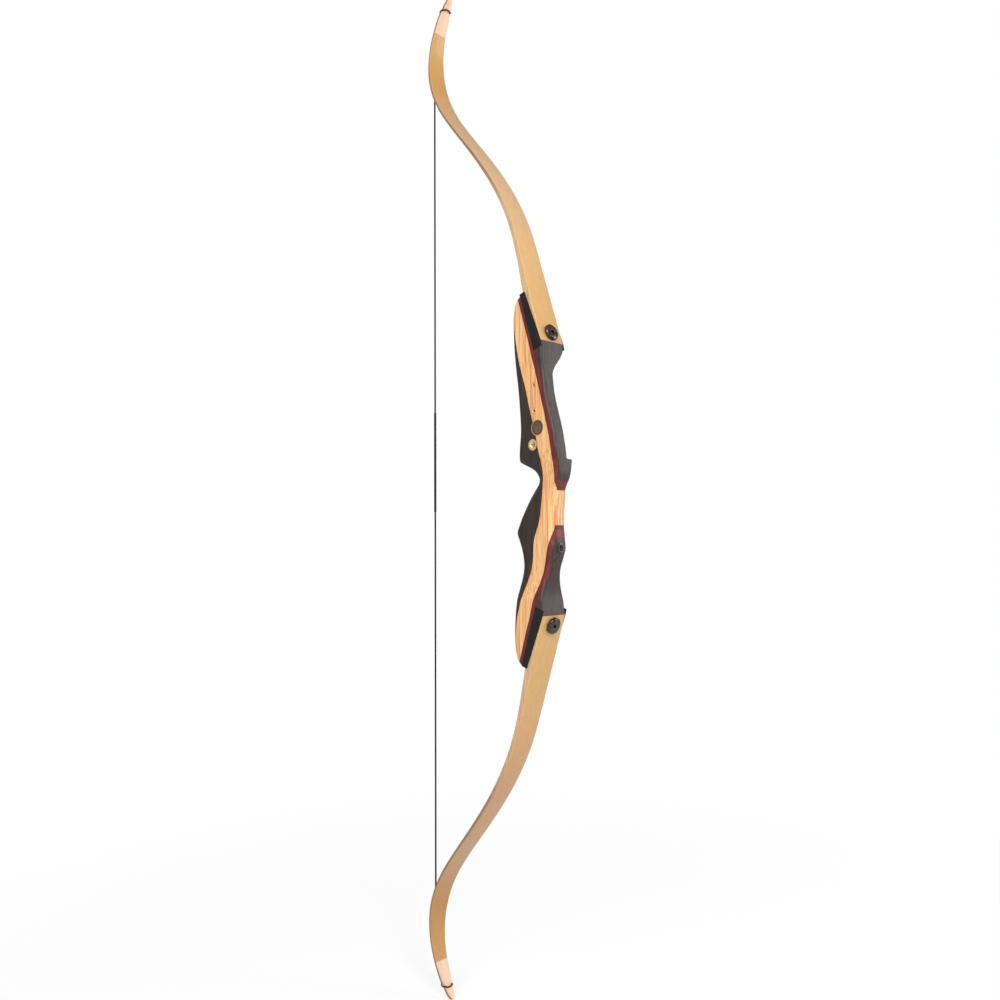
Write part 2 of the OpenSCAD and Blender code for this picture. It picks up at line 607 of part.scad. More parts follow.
module riser_inlay() {
    color("#3a302a") translate([inlay_x, -window_side - inlay_proud, inlay_z]) rotate([-90, 0, 0])
        cylinder(h = inlay_t + inlay_proud, r = inlay_r, $fn = round_fn);
}

// Bowstring
string_lift = 0.1;
string_off = string_r + string_lift;
// Steps of the limb on which the string lies, from where it leaves the belly
lie_x = [for (s = limb_s) limb_at(s, thick(s) + string_off)[0]];
string_x = min(lie_x);
lift_step = search(string_x, lie_x)[0];
string_end = nock_s - leg_len;
function unit(v) = v / norm(v);
// Rings of a tube along points, each ring turned as little as can be
function tube_rings(pts, r, sides) =
    let (last = len(pts) - 1,
        dirs = [for (i = [0 : last]) unit(
            (i < last ? unit(pts[i + 1] - pts[i]) : [0, 0, 0])
            + (i > 0 ? unit(pts[i] - pts[i - 1]) : [0, 0, 0]))],
        first = unit(cross(dirs[0], [0.31, 0.9, 0.17])),
        sides_of = [for (i = 0, n = first; i <= last;
            i = i + 1, n = i <= last ? unit(n - (n * dirs[i]) * dirs[i]) : n) n])
    [for (i = [0 : last]) let (n = sides_of[i], m = cross(dirs[i], n))
        [for (k = [0 : sides - 1]) let (a = 360 * k / sides) pts[i] + r * (cos(a) * n + sin(a) * m)]];
function in_plane(p) = [p[0], 0, p[1]];
string_ring_step = 40;
// The string's route, from the nocking point's height to the end loop's legs
function string_route(from_z) =
    let (top = limb_at(limb_s[lift_step], thick(limb_s[lift_step]) + string_off)[1])
    concat(
        [for (z = [from_z : string_ring_step : top - string_ring_step / 2]) [string_x, 0, z]],
        [for (s = limb_s) if (s >= limb_s[lift_step] && s < string_end - 1)
            in_plane(limb_at(s, thick(s) + string_off))],
        [in_plane(limb_at(string_end, thick(string_end) + string_off))]);
module string_half(from_z) { color("#1c1c20") skin(tube_rings(string_route(from_z), string_r, 8)); }

// The end loop: two legs on the belly, through the grooves and over the tip's back. It clears the
// limb's faces by loop_lift, and its legs start side by side, leg_y from the centre plane.
loop_lift = 0.4;
loop_off = loop_r + loop_lift;
leg_y = loop_r + 0.1;
leg_rings = 8;
function loop_at(s, y, d) = let (p = limb_at(s, d)) [p[0], y, p[1]];
groove_run = tan(-groove_tilt);
back_off = overlay(nock_s) + loop_off;
function loop_side(m) =
    let (belly_s = nock_s - groove_run * (thick(nock_s) + loop_off), back_s = nock_s + groove_run * back_off)
    concat(
        [for (i = [0 : leg_rings]) let (u = i / leg_rings, s = string_end + (belly_s - string_end) * u)
            loop_at(s, m * (leg_y + (nock_y - leg_y) * u * u), thick(s) + loop_off)],
        [
            loop_at(nock_s, m * nock_y, 0),
            loop_at(back_s, m * nock_y, -back_off),
            loop_at(back_s + 1, m * nock_y * 0.6, -back_off - 0.3)
        ]);
module end_loop() {
    top = loop_at(nock_s + groove_run * back_off + 1.3, 0, -back_off - 0.3);
    color("#101012") skin(tube_rings(concat(loop_side(1), [top], flipped(loop_side(-1))), loop_r, 8));
}
module serving(z0, z1) {
    color("#151518") translate([string_x, 0, z0]) difference() {
        cylinder(h = z1 - z0, r = serving_r, $fn = 32);
        translate([0, 0, -1]) cylinder(h = z1 - z0 + 2, r = string_r + 0.02, $fn = 32);
    }
}

riser_belly_block();
riser_core();
riser_upper_dark_veneer();
riser_upper_red_veneer();
riser_upper_front_block();
riser_lower_dark_veneer();
riser_lower_red_veneer();
riser_lower_front_block();
upper() limb_pocket();  // upper_limb_pocket
lower() limb_pocket();  // lower_limb_pocket
upper() bolt_insert();  // upper_bolt_insert
lower() bolt_insert();  // lower_bolt_insert
upper() locating_pins();  // upper_locating_pins
lower() locating_pins();  // lower_locating_pins
upper() bolt_washer();  // upper_bolt_washer
lower() bolt_washer();  // lower_bolt_washer
upper() limb_bolt();  // upper_limb_bolt
lower() limb_bolt();  // lower_limb_bolt
sight_bushings();
plunger_bushing();
stabilizer_bushing();
riser_inlay();
upper() limb_core();  // upper_limb_core
upper() back_glass();  // upper_limb_back_glass
upper() belly_glass();  // upper_limb_belly_glass
upper() limb_wedge();  // upper_limb_wedge
upper() tip_overlay();  // upper_tip_overlay
lower() limb_core();  // lower_limb_core
lower() back_glass();  // lower_limb_back_glass
lower() belly_glass();  // lower_limb_belly_glass
lower() limb_wedge();  // lower_limb_wedge
lower() tip_overlay();  // lower_tip_overlay
upper() string_half(nocking_z - mid_z);  // bowstring_upper_half
lower() string_half(mid_z - nocking_z);  // bowstring_lower_half
upper() end_loop();  // upper_end_loop
lower() end_loop();  // lower_end_loop
serving(nocking_z, serving_top);  // centre_serving_upper
serving(serving_low, nocking_z);  // centre_serving_lower
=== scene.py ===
import math

import bmesh
import bpy
import numpy as np
from mathutils import Matrix, Vector


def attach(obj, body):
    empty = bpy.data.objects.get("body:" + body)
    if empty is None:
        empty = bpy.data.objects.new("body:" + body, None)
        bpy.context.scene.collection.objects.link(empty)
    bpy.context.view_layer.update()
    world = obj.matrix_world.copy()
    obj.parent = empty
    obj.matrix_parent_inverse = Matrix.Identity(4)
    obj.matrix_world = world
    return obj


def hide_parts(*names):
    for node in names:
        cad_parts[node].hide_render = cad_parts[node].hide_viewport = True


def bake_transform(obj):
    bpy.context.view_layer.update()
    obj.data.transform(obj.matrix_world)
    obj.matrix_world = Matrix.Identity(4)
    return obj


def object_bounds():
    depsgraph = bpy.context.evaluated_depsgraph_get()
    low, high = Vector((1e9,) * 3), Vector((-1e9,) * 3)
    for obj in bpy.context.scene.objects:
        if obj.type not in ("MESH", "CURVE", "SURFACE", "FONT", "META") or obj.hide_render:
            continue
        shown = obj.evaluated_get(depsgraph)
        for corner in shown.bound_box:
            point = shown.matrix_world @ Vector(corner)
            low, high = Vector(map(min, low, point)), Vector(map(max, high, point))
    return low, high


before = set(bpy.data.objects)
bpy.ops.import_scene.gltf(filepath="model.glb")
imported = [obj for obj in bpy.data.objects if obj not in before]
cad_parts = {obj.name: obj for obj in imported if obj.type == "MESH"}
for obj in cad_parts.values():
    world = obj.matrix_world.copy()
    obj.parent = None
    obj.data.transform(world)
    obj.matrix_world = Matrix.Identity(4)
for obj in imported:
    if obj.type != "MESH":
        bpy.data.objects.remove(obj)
cad_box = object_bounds()
MM = 0.001
ENDS = (("upper", 1), ("lower", -1))

# Camera
CAMERA_AT = (751.8, -831.3, -77.9)
CAMERA_AZIMUTH = 45.0
CAMERA_PITCH = 2.70
CAMERA_ROLL = -0.278
CAMERA_LENS = 31.08
SENSOR_WIDTH = 36.0


def added(name, data):
    """A new object in the scene."""
    obj = bpy.data.objects.new(name, data)
    bpy.context.scene.collection.objects.link(obj)
    return obj


def make_camera():
    """The camera stands where the photograph was taken from, fitted to the bow's outline."""
    data = bpy.data.cameras.new("camera")
    data.lens = CAMERA_LENS
    data.sensor_width = SENSOR_WIDTH
    data.sensor_fit = "HORIZONTAL"
    camera = added("camera", data)
    turn, pitch, roll = (math.radians(a) for a in (CAMERA_AZIMUTH, 90 + CAMERA_PITCH, CAMERA_ROLL))
    camera.matrix_world = (Matrix.Translation(Vector(CAMERA_AT) * MM) @ Matrix.Rotation(turn, 4, "Z")
                           @ Matrix.Rotation(pitch, 4, "X") @ Matrix.Rotation(roll, 4, "Z"))
    bpy.context.scene.camera = camera


make_camera()
bpy.context.scene.view_settings.view_transform = "Standard"

# Limb sizes
LIMB_LEN = 616
PAD_LEAN = 17.5
BUTT_W = 42.5
MID_W = 35.8
CURVE_W = 34.6
TIP_W = 13.2
BUTT_T = 11.2
FADE_T = 6.2
TIP_T = 3.6
GLASS_T = 1
WEDGE_T = 4.4
WEDGE_LEN = 205
OVERLAY_LEN = 54
OVERLAY_T = 2.4
NOCK_BACK = 19
NOCK_R = 1.8
GROOVE_TILT = 22
WEDGE_CURVE = 1.6
OVERLAY_CURVE = 0.7

# Riser sizes
RISER_LEN = 486
MID_Z = 2.5
PAD_LEN = 67
BUTT_X = 17.4
GRIP_W = 30
WAIST_W = 25.6
WINDOW_SIDE = 20
PAST_CENTRE = 0
SHELF_Z = 25.4
SHELF_W = 11
WINDOW_TOP = 134.5
WINDOW_RISE = 38
DARK_T = 1.8
RED_T = 5.2
DARK_STEP = 5.2
RED_STEP = 7
SWELL_LEN = 30
SWELL_START = 0.3

# Sides of a round piece, and of a larger one
SIDES = 48
FINE_SIDES = 64

# Pockets, bolts and hardware
FLOOR_T = 3.8
WALL_T = 1.5
WALL_LOW = 4.5
WALL_X = -0.3
TAB_X = -1
TAB_LEN = 7
POCKET_OVER = 6
SEAT_GAP = 0.15
RUN_GAP = 0.05
PAD_GAP = 0.1
BOLT_GAP = 0.3
BOLT_S = 13
BOLT_R = 3.95
HEAD_R = 11
HEAD_T = 4.6
SHANK_LEN = 34
HOLE_SPARE = 1.5
HEX_AF = 5
WASHER_R = 9.5
WASHER_T = 1
INSERT_R = 6.5
INSERT_LEN = 16
PIN_R = 2.5
PIN_LEN = 16
PIN_UP = 6
PIN_S = 42
PIN_Y = 11
PIN_SIDES = 32
SIGHT_SPAN = 33.34
SIGHT_Z = 105.6
SIGHT_X = 2.3
SIGHT_R = 4
SIGHT_HOLE_R = 2.1
SIGHT_LEN = 12.5
PLUNGER_Z = 45
PLUNGER_R = 7.5
PLUNGER_BARREL_R = 5.5
THREAD_R = 3.45
THREAD_DEPTH = 0.45
FLANGE_T = 1.4
STAB_Z = -87.6
STAB_R = 7
STAB_BARREL_R = 5.6
STAB_LEN = 24
INLAY_Z = 66.4
INLAY_X = 8.5
INLAY_R = 10.6
INLAY_T = 2.4
FINE_PITCH = 1.06
COARSE_PITCH = 2

# String sizes
STRING_R = 1.25
SERVING_R = 1.75
LOOP_R = 1.1
LOOP_LIFT = 0.3
LOOP_SUNK = 0.6
NOCKING_Z = 35
SERVING_TOP = 111
SERVING_LOW = -35
LEG_LEN = 55

# Worked out from the sizes above, and FAR, which reaches past any piece that is cut
POCKET_W = BUTT_W + 2 * (SEAT_GAP + WALL_T)
FLOOR_X = -BUTT_T - PAD_GAP
WOOD_X = FLOOR_X - FLOOR_T
PIN_LOW = FLOOR_X + PIN_UP - PIN_LEN
BUTT_Z = RISER_LEN / 2 - PAD_LEN
PAD_SIDE = POCKET_W / 2 - 1.1
LEFT_SIDE = PAD_SIDE - 0.6
FAR = 80


def smooth(rows, z):
    """A smooth value at z, through rows of (z, value) in rising order of z."""
    last = len(rows) - 1
    i = 0
    while i < last - 1 and z >= rows[i + 1][0]:
        i += 1

    def slope(k):
        a, b = max(k - 1, 0), min(k + 1, last)
        return (rows[b][1] - rows[a][1]) / (rows[b][0] - rows[a][0])

    h = rows[i + 1][0] - rows[i][0]
    u = (z - rows[i][0]) / h
    rising = (1 + 2 * u) * (1 - u) ** 2 * rows[i][1] + u * u * (3 - 2 * u) * rows[i + 1][1]
    return rising + u * (1 - u) ** 2 * h * slope(i) - u * u * (1 - u) * h * slope(i + 1)


def spread(low, high, step):
    """Evenly spaced values from low to high, about a step apart."""
    count = max(1, round((high - low) / step))
    return [low + (high - low) * i / count for i in range(count + 1)]


# Mesh helpers
def new_object(name, points, faces):
    mesh = bpy.data.meshes.new(name)
    mesh.from_pydata([tuple(c * MM for c in p) for p in points], [], faces)
    mesh.validate()
    return added(name, mesh)


def outward(obj):
    """Turns every face to look outward."""
    work = bmesh.new()
    work.from_mesh(obj.data)
    bmesh.ops.recalc_face_normals(work, faces=work.faces)
    work.to_mesh(obj.data)
    work.free()
    return obj


def skin(name, rings, hollow=False):
    """A closed surface over rings of points. A hollow one's last ring meets its first."""
    n, count = len(rings[0]), len(rings)
    faces = []
    for k in range(count if hollow else count - 1):
        a, b = k * n, (k + 1) % count * n
        faces += [(a + i, a + (i + 1) % n, b + (i + 1) % n, b + i) for i in range(n)]
    if not hollow:
        faces.append(tuple(range(n - 1, -1, -1)))
        faces.append(tuple((count - 1) * n + i for i in range(n)))
    return outward(new_object(name, [p for ring in rings for p in ring], faces))


def applied(obj):
    """Makes the object's modifiers part of its mesh."""
    graph = bpy.context.evaluated_depsgraph_get()
    mesh = bpy.data.meshes.new_from_object(obj.evaluated_get(graph), depsgraph=graph)
    obj.modifiers.clear()
    obj.data = mesh
    return obj


def cut(obj, tool, operation="DIFFERENCE"):
    """Cuts a tool out of the object, or joins or crosses them. The tool goes."""
    modifier = obj.modifiers.new("cut", "BOOLEAN")
    modifier.object = tool
    modifier.operation = operation
    modifier.solver = "EXACT"
    applied(obj)
    bpy.data.objects.remove(tool)
    return obj


def bore(obj, low, high, radius, place, sides=SIDES):
    cut(obj, lathe("tool", plain((low, radius), (high, radius)), place, sides))


def bevelled(obj, width, angle=35):
    modifier = obj.modifiers.new("edges", "BEVEL")
    modifier.width = width * MM
    modifier.segments = 2
    modifier.limit_method = "ANGLE"
    modifier.angle_limit = math.radians(angle)
    return applied(obj)


def copied(obj, name):
    return added(name, obj.data.copy())


def mirrored(obj, name):
    """A copy below the limbs' mirror plane."""
    twin = copied(obj, name)
    flip = Matrix.Translation((0, 0, 2 * MID_Z * MM)) @ Matrix.Diagonal((1, 1, -1, 1))
    twin.data.transform(flip)
    twin.data.flip_normals()
    return twin


def pair(piece, base):
    """The piece's copy above and its mirror twin below, each with its end and side. The piece goes."""
    twins = (copied(piece, "upper_" + base), mirrored(piece, "lower_" + base))
    bpy.data.objects.remove(piece)
    return [(end, side, twin) for (end, side), twin in zip(ENDS, twins)]


def prism(name, outline, low, high):
    """A side view, as (x, z) points, from y low to y high."""
    rings = [[(x, y, z) for x, z in outline] for y in (low, high)]
    return skin(name, rings)


def frame_at(origin, x_axis, y_axis, z_axis):
    axes = Matrix((x_axis, y_axis, z_axis)).transposed().to_4x4()
    return Matrix.Translation(origin) @ axes


def placed(point, place):
    return tuple(place @ Vector(point))


def box(name, low, high, place):
    corners = [(low[0], low[1]), (high[0], low[1]), (high[0], high[1]), (low[0], high[1])]
    rings = [[placed((x, y, z), place) for x, y in corners] for z in (low[2], high[2])]
    return skin(name, rings)


def lathe(name, rows, place, sides=SIDES, hollow=False):
    """Turns rows of (along, radius, thread depth, pitch) round the place's X axis."""
    rings = []
    for along, radius, depth, pitch in rows:
        ring = []
        for i in range(sides):
            turn = i / sides
            wave = abs(2 * ((along / pitch + turn) % 1) - 1) if pitch else 0
            r = radius + depth * wave
            a = 2 * math.pi * turn
            ring.append(placed((along, r * math.cos(a), r * math.sin(a)), place))
        rings.append(ring)
    return skin(name, rings, hollow)


def plain(*rows):
    """Lathe rows without a thread."""
    return [(along, radius, 0, 0) for along, radius in rows]


def offsets(along, radius, *rows):
    """Lathe rows without a thread, given from a place and a radius."""
    return [(along + a, radius + r, 0, 0) for a, r in rows]


def threaded(low, high, radius, depth, pitch):
    """Lathe rows of a thread."""
    return [(a, radius, depth, pitch) for a in spread(low, high, pitch / 6)]


# A direction that no route starts along
ODD_WAY = (0.31, 0.9, 0.17)


def tube_rings(points, radius_at, sides):
    """Rings along a smooth route; radius_at(distance, angle) gives the surface."""
    points = [Vector(p) for p in points]
    normal = None
    rings = []
    run = 0.0
    for i, p in enumerate(points):
        ahead = (points[min(i + 1, len(points) - 1)] - points[max(i - 1, 0)]).normalized()
        if normal is None:
            normal = ahead.cross(Vector(ODD_WAY)).normalized()
        else:
            normal = (normal - normal.dot(ahead) * ahead).normalized()
            run += (p - points[i - 1]).length
        side = ahead.cross(normal)
        ring = []
        for k in range(sides):
            a = 2 * math.pi * k / sides
            r = radius_at(run, a)
            ring.append(tuple(p + r * (math.cos(a) * normal + math.sin(a) * side)))
        rings.append(ring)
    return rings


CURVE_STEPS = 16


def resampled(points, step):
    """Points a step apart on a smooth curve through the given ones."""
    pts = np.array(points, float)
    ends = np.vstack([2 * pts[0] - pts[1], pts, 2 * pts[-1] - pts[-2]])
    fine = []
    for a, b, c, d in zip(ends, ends[1:], ends[2:], ends[3:]):
        for u in np.linspace(0, 1, CURVE_STEPS, endpoint=False):
            fine.append(0.5 * (2 * b + (c - a) * u + (2 * a - 5 * b + 4 * c - d) * u * u
                               + (3 * b - a - 3 * c + d) * u ** 3))
    fine.append(pts[-1])
    fine = np.array(fine)
    run = np.concatenate([[0], np.cumsum(np.linalg.norm(np.diff(fine, axis=0), axis=1))])
    at = np.linspace(0, run[-1], max(2, round(run[-1] / step)) + 1)
    return [tuple(np.interp(a, run, fine[:, k]) for k in range(3)) for a in at]


# Materials
def linear(red, green, blue):
    """A colour given as it looks on screen, from 0 to 255, in Blender's linear values."""
    parts = (c / 255 for c in (red, green, blue))
    return tuple(c / 12.92 if c <= 0.04045 else ((c + 0.055) / 1.055) ** 2.4 for c in parts) + (1.0,)


def grey(tone):
    return (tone, tone, tone, 1)


def new_material(name, rough, metallic=0.0, coat=0.0, coat_rough=0.2, specular=0.5):
    material = bpy.data.materials.new(name)
    material.use_nodes = True
    shader = material.node_tree.nodes["Principled BSDF"]
    values = {"Roughness": rough, "Metallic": metallic, "Coat Weight": coat,
              "Coat Roughness": coat_rough, "Specular IOR Level": specular}
    for key, value in values.items():
        shader.inputs[key].default_value = value
    return material, material.node_tree, shader


def node(tree, kind, settings=(), **inputs):
    """A new node. An input is a value, or a socket to link from."""
    made = tree.nodes.new("ShaderNode" + kind)
    for key, value in dict(settings).items():
        setattr(made, key, value)
    for key, value in inputs.items():
        socket = made.inputs[int(key[1:])] if key[0] == "_" else made.inputs[key.replace("_", " ")]
        if isinstance(value, bpy.types.NodeSocket):
            tree.links.new(value, socket)
        else:
            socket.default_value = value
    return made


def mapped(tree, value, settings=(), **spans):
    """A value taken from one span to another."""
    return node(tree, "MapRange", settings, Value=value, **spans).outputs["Result"]


def own_place(tree):
    """Each point's place in the bow's frame."""
    return node(tree, "TexCoord").outputs["Object"]


def specks(tree, scale, detail):
    """Even noise; scale is a count in a metre."""
    return node(tree, "TexNoise", Vector=own_place(tree), Scale=scale, Detail=detail).outputs["Fac"]


def painted(tree, shader, colour):
    tree.links.new(colour, shader.inputs["Base Color"])


def glossed(tree, shader, source, low, high):
    """Roughness from low to high, as the source goes from 0 to 1."""
    tree.links.new(mapped(tree, source, To_Min=low, To_Max=high), shader.inputs["Roughness"])


def ramp(tree, source, *stops):
    """A colour ramp over (position, colour) stops."""
    made = node(tree, "ValToRGB", Fac=source)
    elements = made.color_ramp.elements
    elements.remove(elements[1])
    elements[0].position, elements[0].color = stops[0]
    for position, colour in stops[1:]:
        elements.new(position).color = colour
    return made.outputs["Color"]


def stretched_noise(tree, across, along, detail=4.0, rough=0.55, shift=0.0, distort=0.0):
    """Noise in streaks along the bow; across and along are counts in a metre."""
    moved = node(tree, "Mapping", Vector=own_place(tree), Location=(shift, shift, shift),
                 Scale=(across, across, along)).outputs["Vector"]
    noise = node(tree, "TexNoise", Vector=moved, Scale=1.0, Detail=detail, Roughness=rough,
                 Distortion=distort)
    return noise.outputs["Fac"]


def mixed(tree, a, b, amount=1.0, kind="MULTIPLY"):
    made = node(tree, "Mix", {"data_type": "RGBA", "blend_type": kind}, _0=amount, _6=a, _7=b)
    return made.outputs[2]


def bump(tree, shader, height, strength, distance):
    made = node(tree, "Bump", Strength=strength, Distance=distance * MM, Height=height)
    tree.links.new(made.outputs["Normal"], shader.inputs["Normal"])


def wood(name, dark, middle, light, streaks=(260, 9), lines=(900, 22), line_tone=(0.8, 0.8, 0.8),
         shift=0.0, rough=0.42, distort=0.6, tone=None):
    """Wood whose grain runs along the bow: broad streaks, finer lines and open pores."""
    material, tree, shader = new_material(name, rough, coat=0.15, coat_rough=0.25)
    broad = stretched_noise(tree, *streaks, detail=3, shift=shift, distort=distort)
    base = ramp(tree, broad, (0.3, linear(*dark)), (0.5, linear(*middle)), (0.7, linear(*light)))
    # A tone along the bow. The limbs' wood gets the side tones, which hold painted shade.
    if tone:
        base = mixed(tree, base, along_limb(tree, *tone))
    fine = stretched_noise(tree, *lines, detail=5, rough=0.65, shift=shift + 3, distort=0.3)
    toned = ramp(tree, fine, (0.36, (*line_tone, 1)), (0.52, grey(1)))
    painted(tree, shader, mixed(tree, base, toned))
    pores = stretched_noise(tree, 1900, 60, detail=2, shift=shift + 7)
    depth = ramp(tree, pores, (0.34, grey(0)), (0.46, grey(1)))
    bump(tree, shader, depth, 0.35, 0.08)
    glossed(tree, shader, fine, rough + 0.1, rough - 0.06)
    return material


# Height, up and down, at which the limbs' colour stops end
LIMB_FAR = 740


def along_limb(tree, *stops):
    """A colour from (height, colour) stops, in rising order of height."""
    height = node(tree, "SeparateXYZ", Vector=own_place(tree)).outputs["Z"]
    far = LIMB_FAR * MM
    share = mapped(tree, height, From_Min=-far, From_Max=far)
    return ramp(tree, share, *((0.5 + z / (2 * LIMB_FAR), linear(*colour)) for z, colour in stops))


def laminate(name, face, side, grain=(260, 3)):
    """Clear glass over pale wood: soft long streaks under a smooth coat, and a duller cut edge with
    painted shade.
    """
    material, tree, shader = new_material(name, 0.3, coat=0.35, coat_rough=0.12)
    coords = node(tree, "TexCoord").outputs["Normal"]
    sideways = node(tree, "SeparateXYZ", Vector=coords).outputs["Y"]
    # Faces that look sideways take the side tones: their own tone, with painted shade towards the tips.
    cut_edge_and_shade = node(tree, "Math", {"operation": "ABSOLUTE"}, _0=sideways).outputs[0]
    share = mapped(tree, cut_edge_and_shade, From_Min=0.6, From_Max=0.95)
    base = mixed(tree, along_limb(tree, *face), along_limb(tree, *side), share, "MIX")
    broad = stretched_noise(tree, *grain, detail=4, distort=0.4)
    streaked = ramp(tree, broad, (0.34, (0.93, 0.91, 0.88, 1)), (0.62, grey(1)))
    fine = stretched_noise(tree, 1300, 14, detail=3, shift=5)
    toned = ramp(tree, fine, (0.3, (0.95, 0.94, 0.92, 1)), (0.6, grey(1)))
    painted(tree, shader, mixed(tree, mixed(tree, base, streaked), toned))
    bump(tree, shader, stretched_noise(tree, 60, 12, detail=2, shift=9), 0.08, 0.2)
    return material


def inlay_stuff(name, middle, ring, rim):
    """A plain dark disc with a paler rim."""
    material, tree, shader = new_material(name, 0.34, coat=0.3)
    centre = (INLAY_X * MM, -WINDOW_SIDE * MM, INLAY_Z * MM)
    away = node(tree, "VectorMath", {"operation": "DISTANCE"}, _0=own_place(tree), _1=centre)
    share = node(tree, "Math", {"operation": "DIVIDE"}, _0=away.outputs["Value"],
                 _1=INLAY_R * MM).outputs[0]
    tone = ramp(tree, share, (0.0, linear(*middle)), (0.66, linear(*middle)), (0.76, linear(*ring)),
                (0.84, linear(*ring)), (0.9, linear(*rim)))
    cloudy = specks(tree, 420, 4)
    mottle = ramp(tree, cloudy, (0.35, (0.72, 0.72, 0.72, 1)), (0.65, (1.25, 1.2, 1.15, 1)))
    painted(tree, shader, mixed(tree, tone, mottle))
    bump(tree, shader, cloudy, 0.25, 0.1)
    return material


def metal(name, colour, worn, rough, purity=1.0):
    """Turned or ground metal with fine scratches and a little wear."""
    material, tree, shader = new_material(name, rough, metallic=purity)
    scratch = specks(tree, 2600, 3)
    tone = ramp(tree, specks(tree, 180, 4), (0.35, linear(*colour)), (0.7, linear(*worn)))
    painted(tree, shader, tone)
    glossed(tree, shader, scratch, rough - 0.08, rough + 0.12)
    bump(tree, shader, scratch, 0.12, 0.02)
    return material


def coating(name, colour, worn, rough, coat=0.0, specular=0.5):
    """Painted metal or moulded plastic with a fine texture."""
    material, tree, shader = new_material(name, rough, coat=coat, specular=specular)
    cloudy = specks(tree, 90, 3)
    painted(tree, shader, ramp(tree, cloudy, (0.35, linear(*colour)), (0.75, linear(*worn))))
    glossed(tree, shader, cloudy, rough - 0.06, rough + 0.1)
    bump(tree, shader, specks(tree, 1800, 3), 0.2, 0.05)
    return material


def thread_stuff(name, colour, shine, rough):
    """Waxed thread: dark fibres with a slight sheen."""
    material, tree, shader = new_material(name, rough, specular=0.3)
    fibre = specks(tree, 3800, 2)
    painted(tree, shader, ramp(tree, fibre, (0.3, linear(*colour)), (0.75, linear(*shine))))
    shader.inputs["Sheen Weight"].default_value = 0.05
    bump(tree, shader, fibre, 0.3, 0.06)
    return material


# Tones of the limbs' sides and faces along the bow, as (height, colour). They hold painted shade: the
# sides darken towards the tips, and the faces near ±600. The sides' are the same above and below the grip.
SIDE_HALF_WITH_SHADE = [
    (200, (236, 196, 146)), (370, (224, 186, 142)), (430, (170, 136, 104)), (560, (158, 126, 94)),
    (640, (172, 138, 100)), (700, (160, 124, 92))]
SIDE_TONES_WITH_SHADE = [(-z, colour) for z, colour in SIDE_HALF_WITH_SHADE[::-1]] + SIDE_HALF_WITH_SHADE
BACK_TONES_WITH_SHADE = (
    (-690, (216, 164, 104)), (-600, (204, 148, 80)), (-520, (216, 164, 106)), (-420, (222, 168, 118)),
    (-300, (228, 180, 116)), (-200, (232, 184, 114)), (200, (228, 178, 110)), (300, (231, 186, 127)),
    (420, (230, 185, 139)), (520, (222, 176, 122)), (600, (210, 156, 88)), (690, (220, 170, 104)))

STUFF = {
    "riser_dark_wood": wood("belly_wood", (40, 29, 26), (54, 42, 38), (73, 58, 51), streaks=(230, 7),
                            line_tone=(0.66, 0.62, 0.6), distort=1.4),
    "riser_light_wood": wood("core_wood", (232, 152, 94), (255, 200, 138), (255, 216, 160),
                             streaks=(230, 7), lines=(700, 8), line_tone=(0.7, 0.48, 0.32),
                             shift=1.3, distort=1.0),
    "dark_veneer": wood("veneer_wood", (56, 26, 24), (74, 36, 33), (92, 48, 42), shift=2.1),
    "red_veneer": wood("red_wood", (92, 18, 20), (124, 30, 32), (150, 46, 44), streaks=(420, 14),
                       line_tone=(0.76, 0.7, 0.7), shift=4.2),
    "riser_front_wood": wood("front_wood", (47, 35, 32), (63, 50, 47), (83, 67, 63), streaks=(380, 6),
                             line_tone=(0.62, 0.58, 0.56), shift=5.7),
    "pocket_plastic": coating("pocket_plastic", (22, 21, 22), (32, 30, 31), 0.55, specular=0.36),
    "brass": metal("brass", (248, 208, 148), (255, 230, 184), 0.2, purity=0.65),
    "steel": metal("steel", (176, 178, 182), (198, 200, 204), 0.3),
    "black_steel": coating("black_steel", (40, 36, 36), (60, 54, 52), 0.26, coat=0.5),
    "gunmetal": metal("gunmetal", (72, 67, 69), (114, 107, 107), 0.13),
    "inlay": inlay_stuff("inlay", (104, 84, 66), (58, 46, 36), (196, 144, 98)),
    # The limbs' wood and glass take tones with painted shade on their sides towards the tips.
    "limb_wood": wood("limb_wood", (222, 222, 222), (246, 246, 246), (255, 255, 255), streaks=(240, 6),
                      line_tone=(0.86, 0.82, 0.78), shift=6.4, rough=0.38, tone=SIDE_TONES_WITH_SHADE),
    "limb_glass": laminate("limb_glass", BACK_TONES_WITH_SHADE, SIDE_TONES_WITH_SHADE),
    # The overlay's side tone is darker than its face: painted shade on its sides.
    "tip_overlay": laminate("tip_overlay", ((600, (248, 212, 180)),), ((600, (206, 170, 138)),),
                            grain=(420, 20)),
    "bowstring": thread_stuff("bowstring", (14, 14, 15), (30, 30, 32), 0.62),
    "serving_thread": thread_stuff("serving_thread", (14, 14, 15), (32, 32, 34), 0.55),
    "loop_thread": thread_stuff("loop_thread", (78, 40, 26), (104, 60, 42), 0.6),
}


def finish_piece(piece, slot_name, body, *nodes, look=None, angle=35):
    """Gives a piece its shading, material and body, and hides the CAD nodes it stands for."""
    piece.data.shade_smooth()
    piece.data.set_sharp_from_angle(angle=math.radians(angle))
    piece.data.materials.clear()
    piece.data.materials.append(STUFF[look or slot_name])
    if body:
        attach(piece, body)
    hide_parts(*nodes)


def turned(name, rows, at, sides, slot_name, node_name, hollow=True):
    """A lathe piece on the riser."""
    finish_piece(lathe(name, rows, at, sides, hollow), slot_name, "riser", node_name)


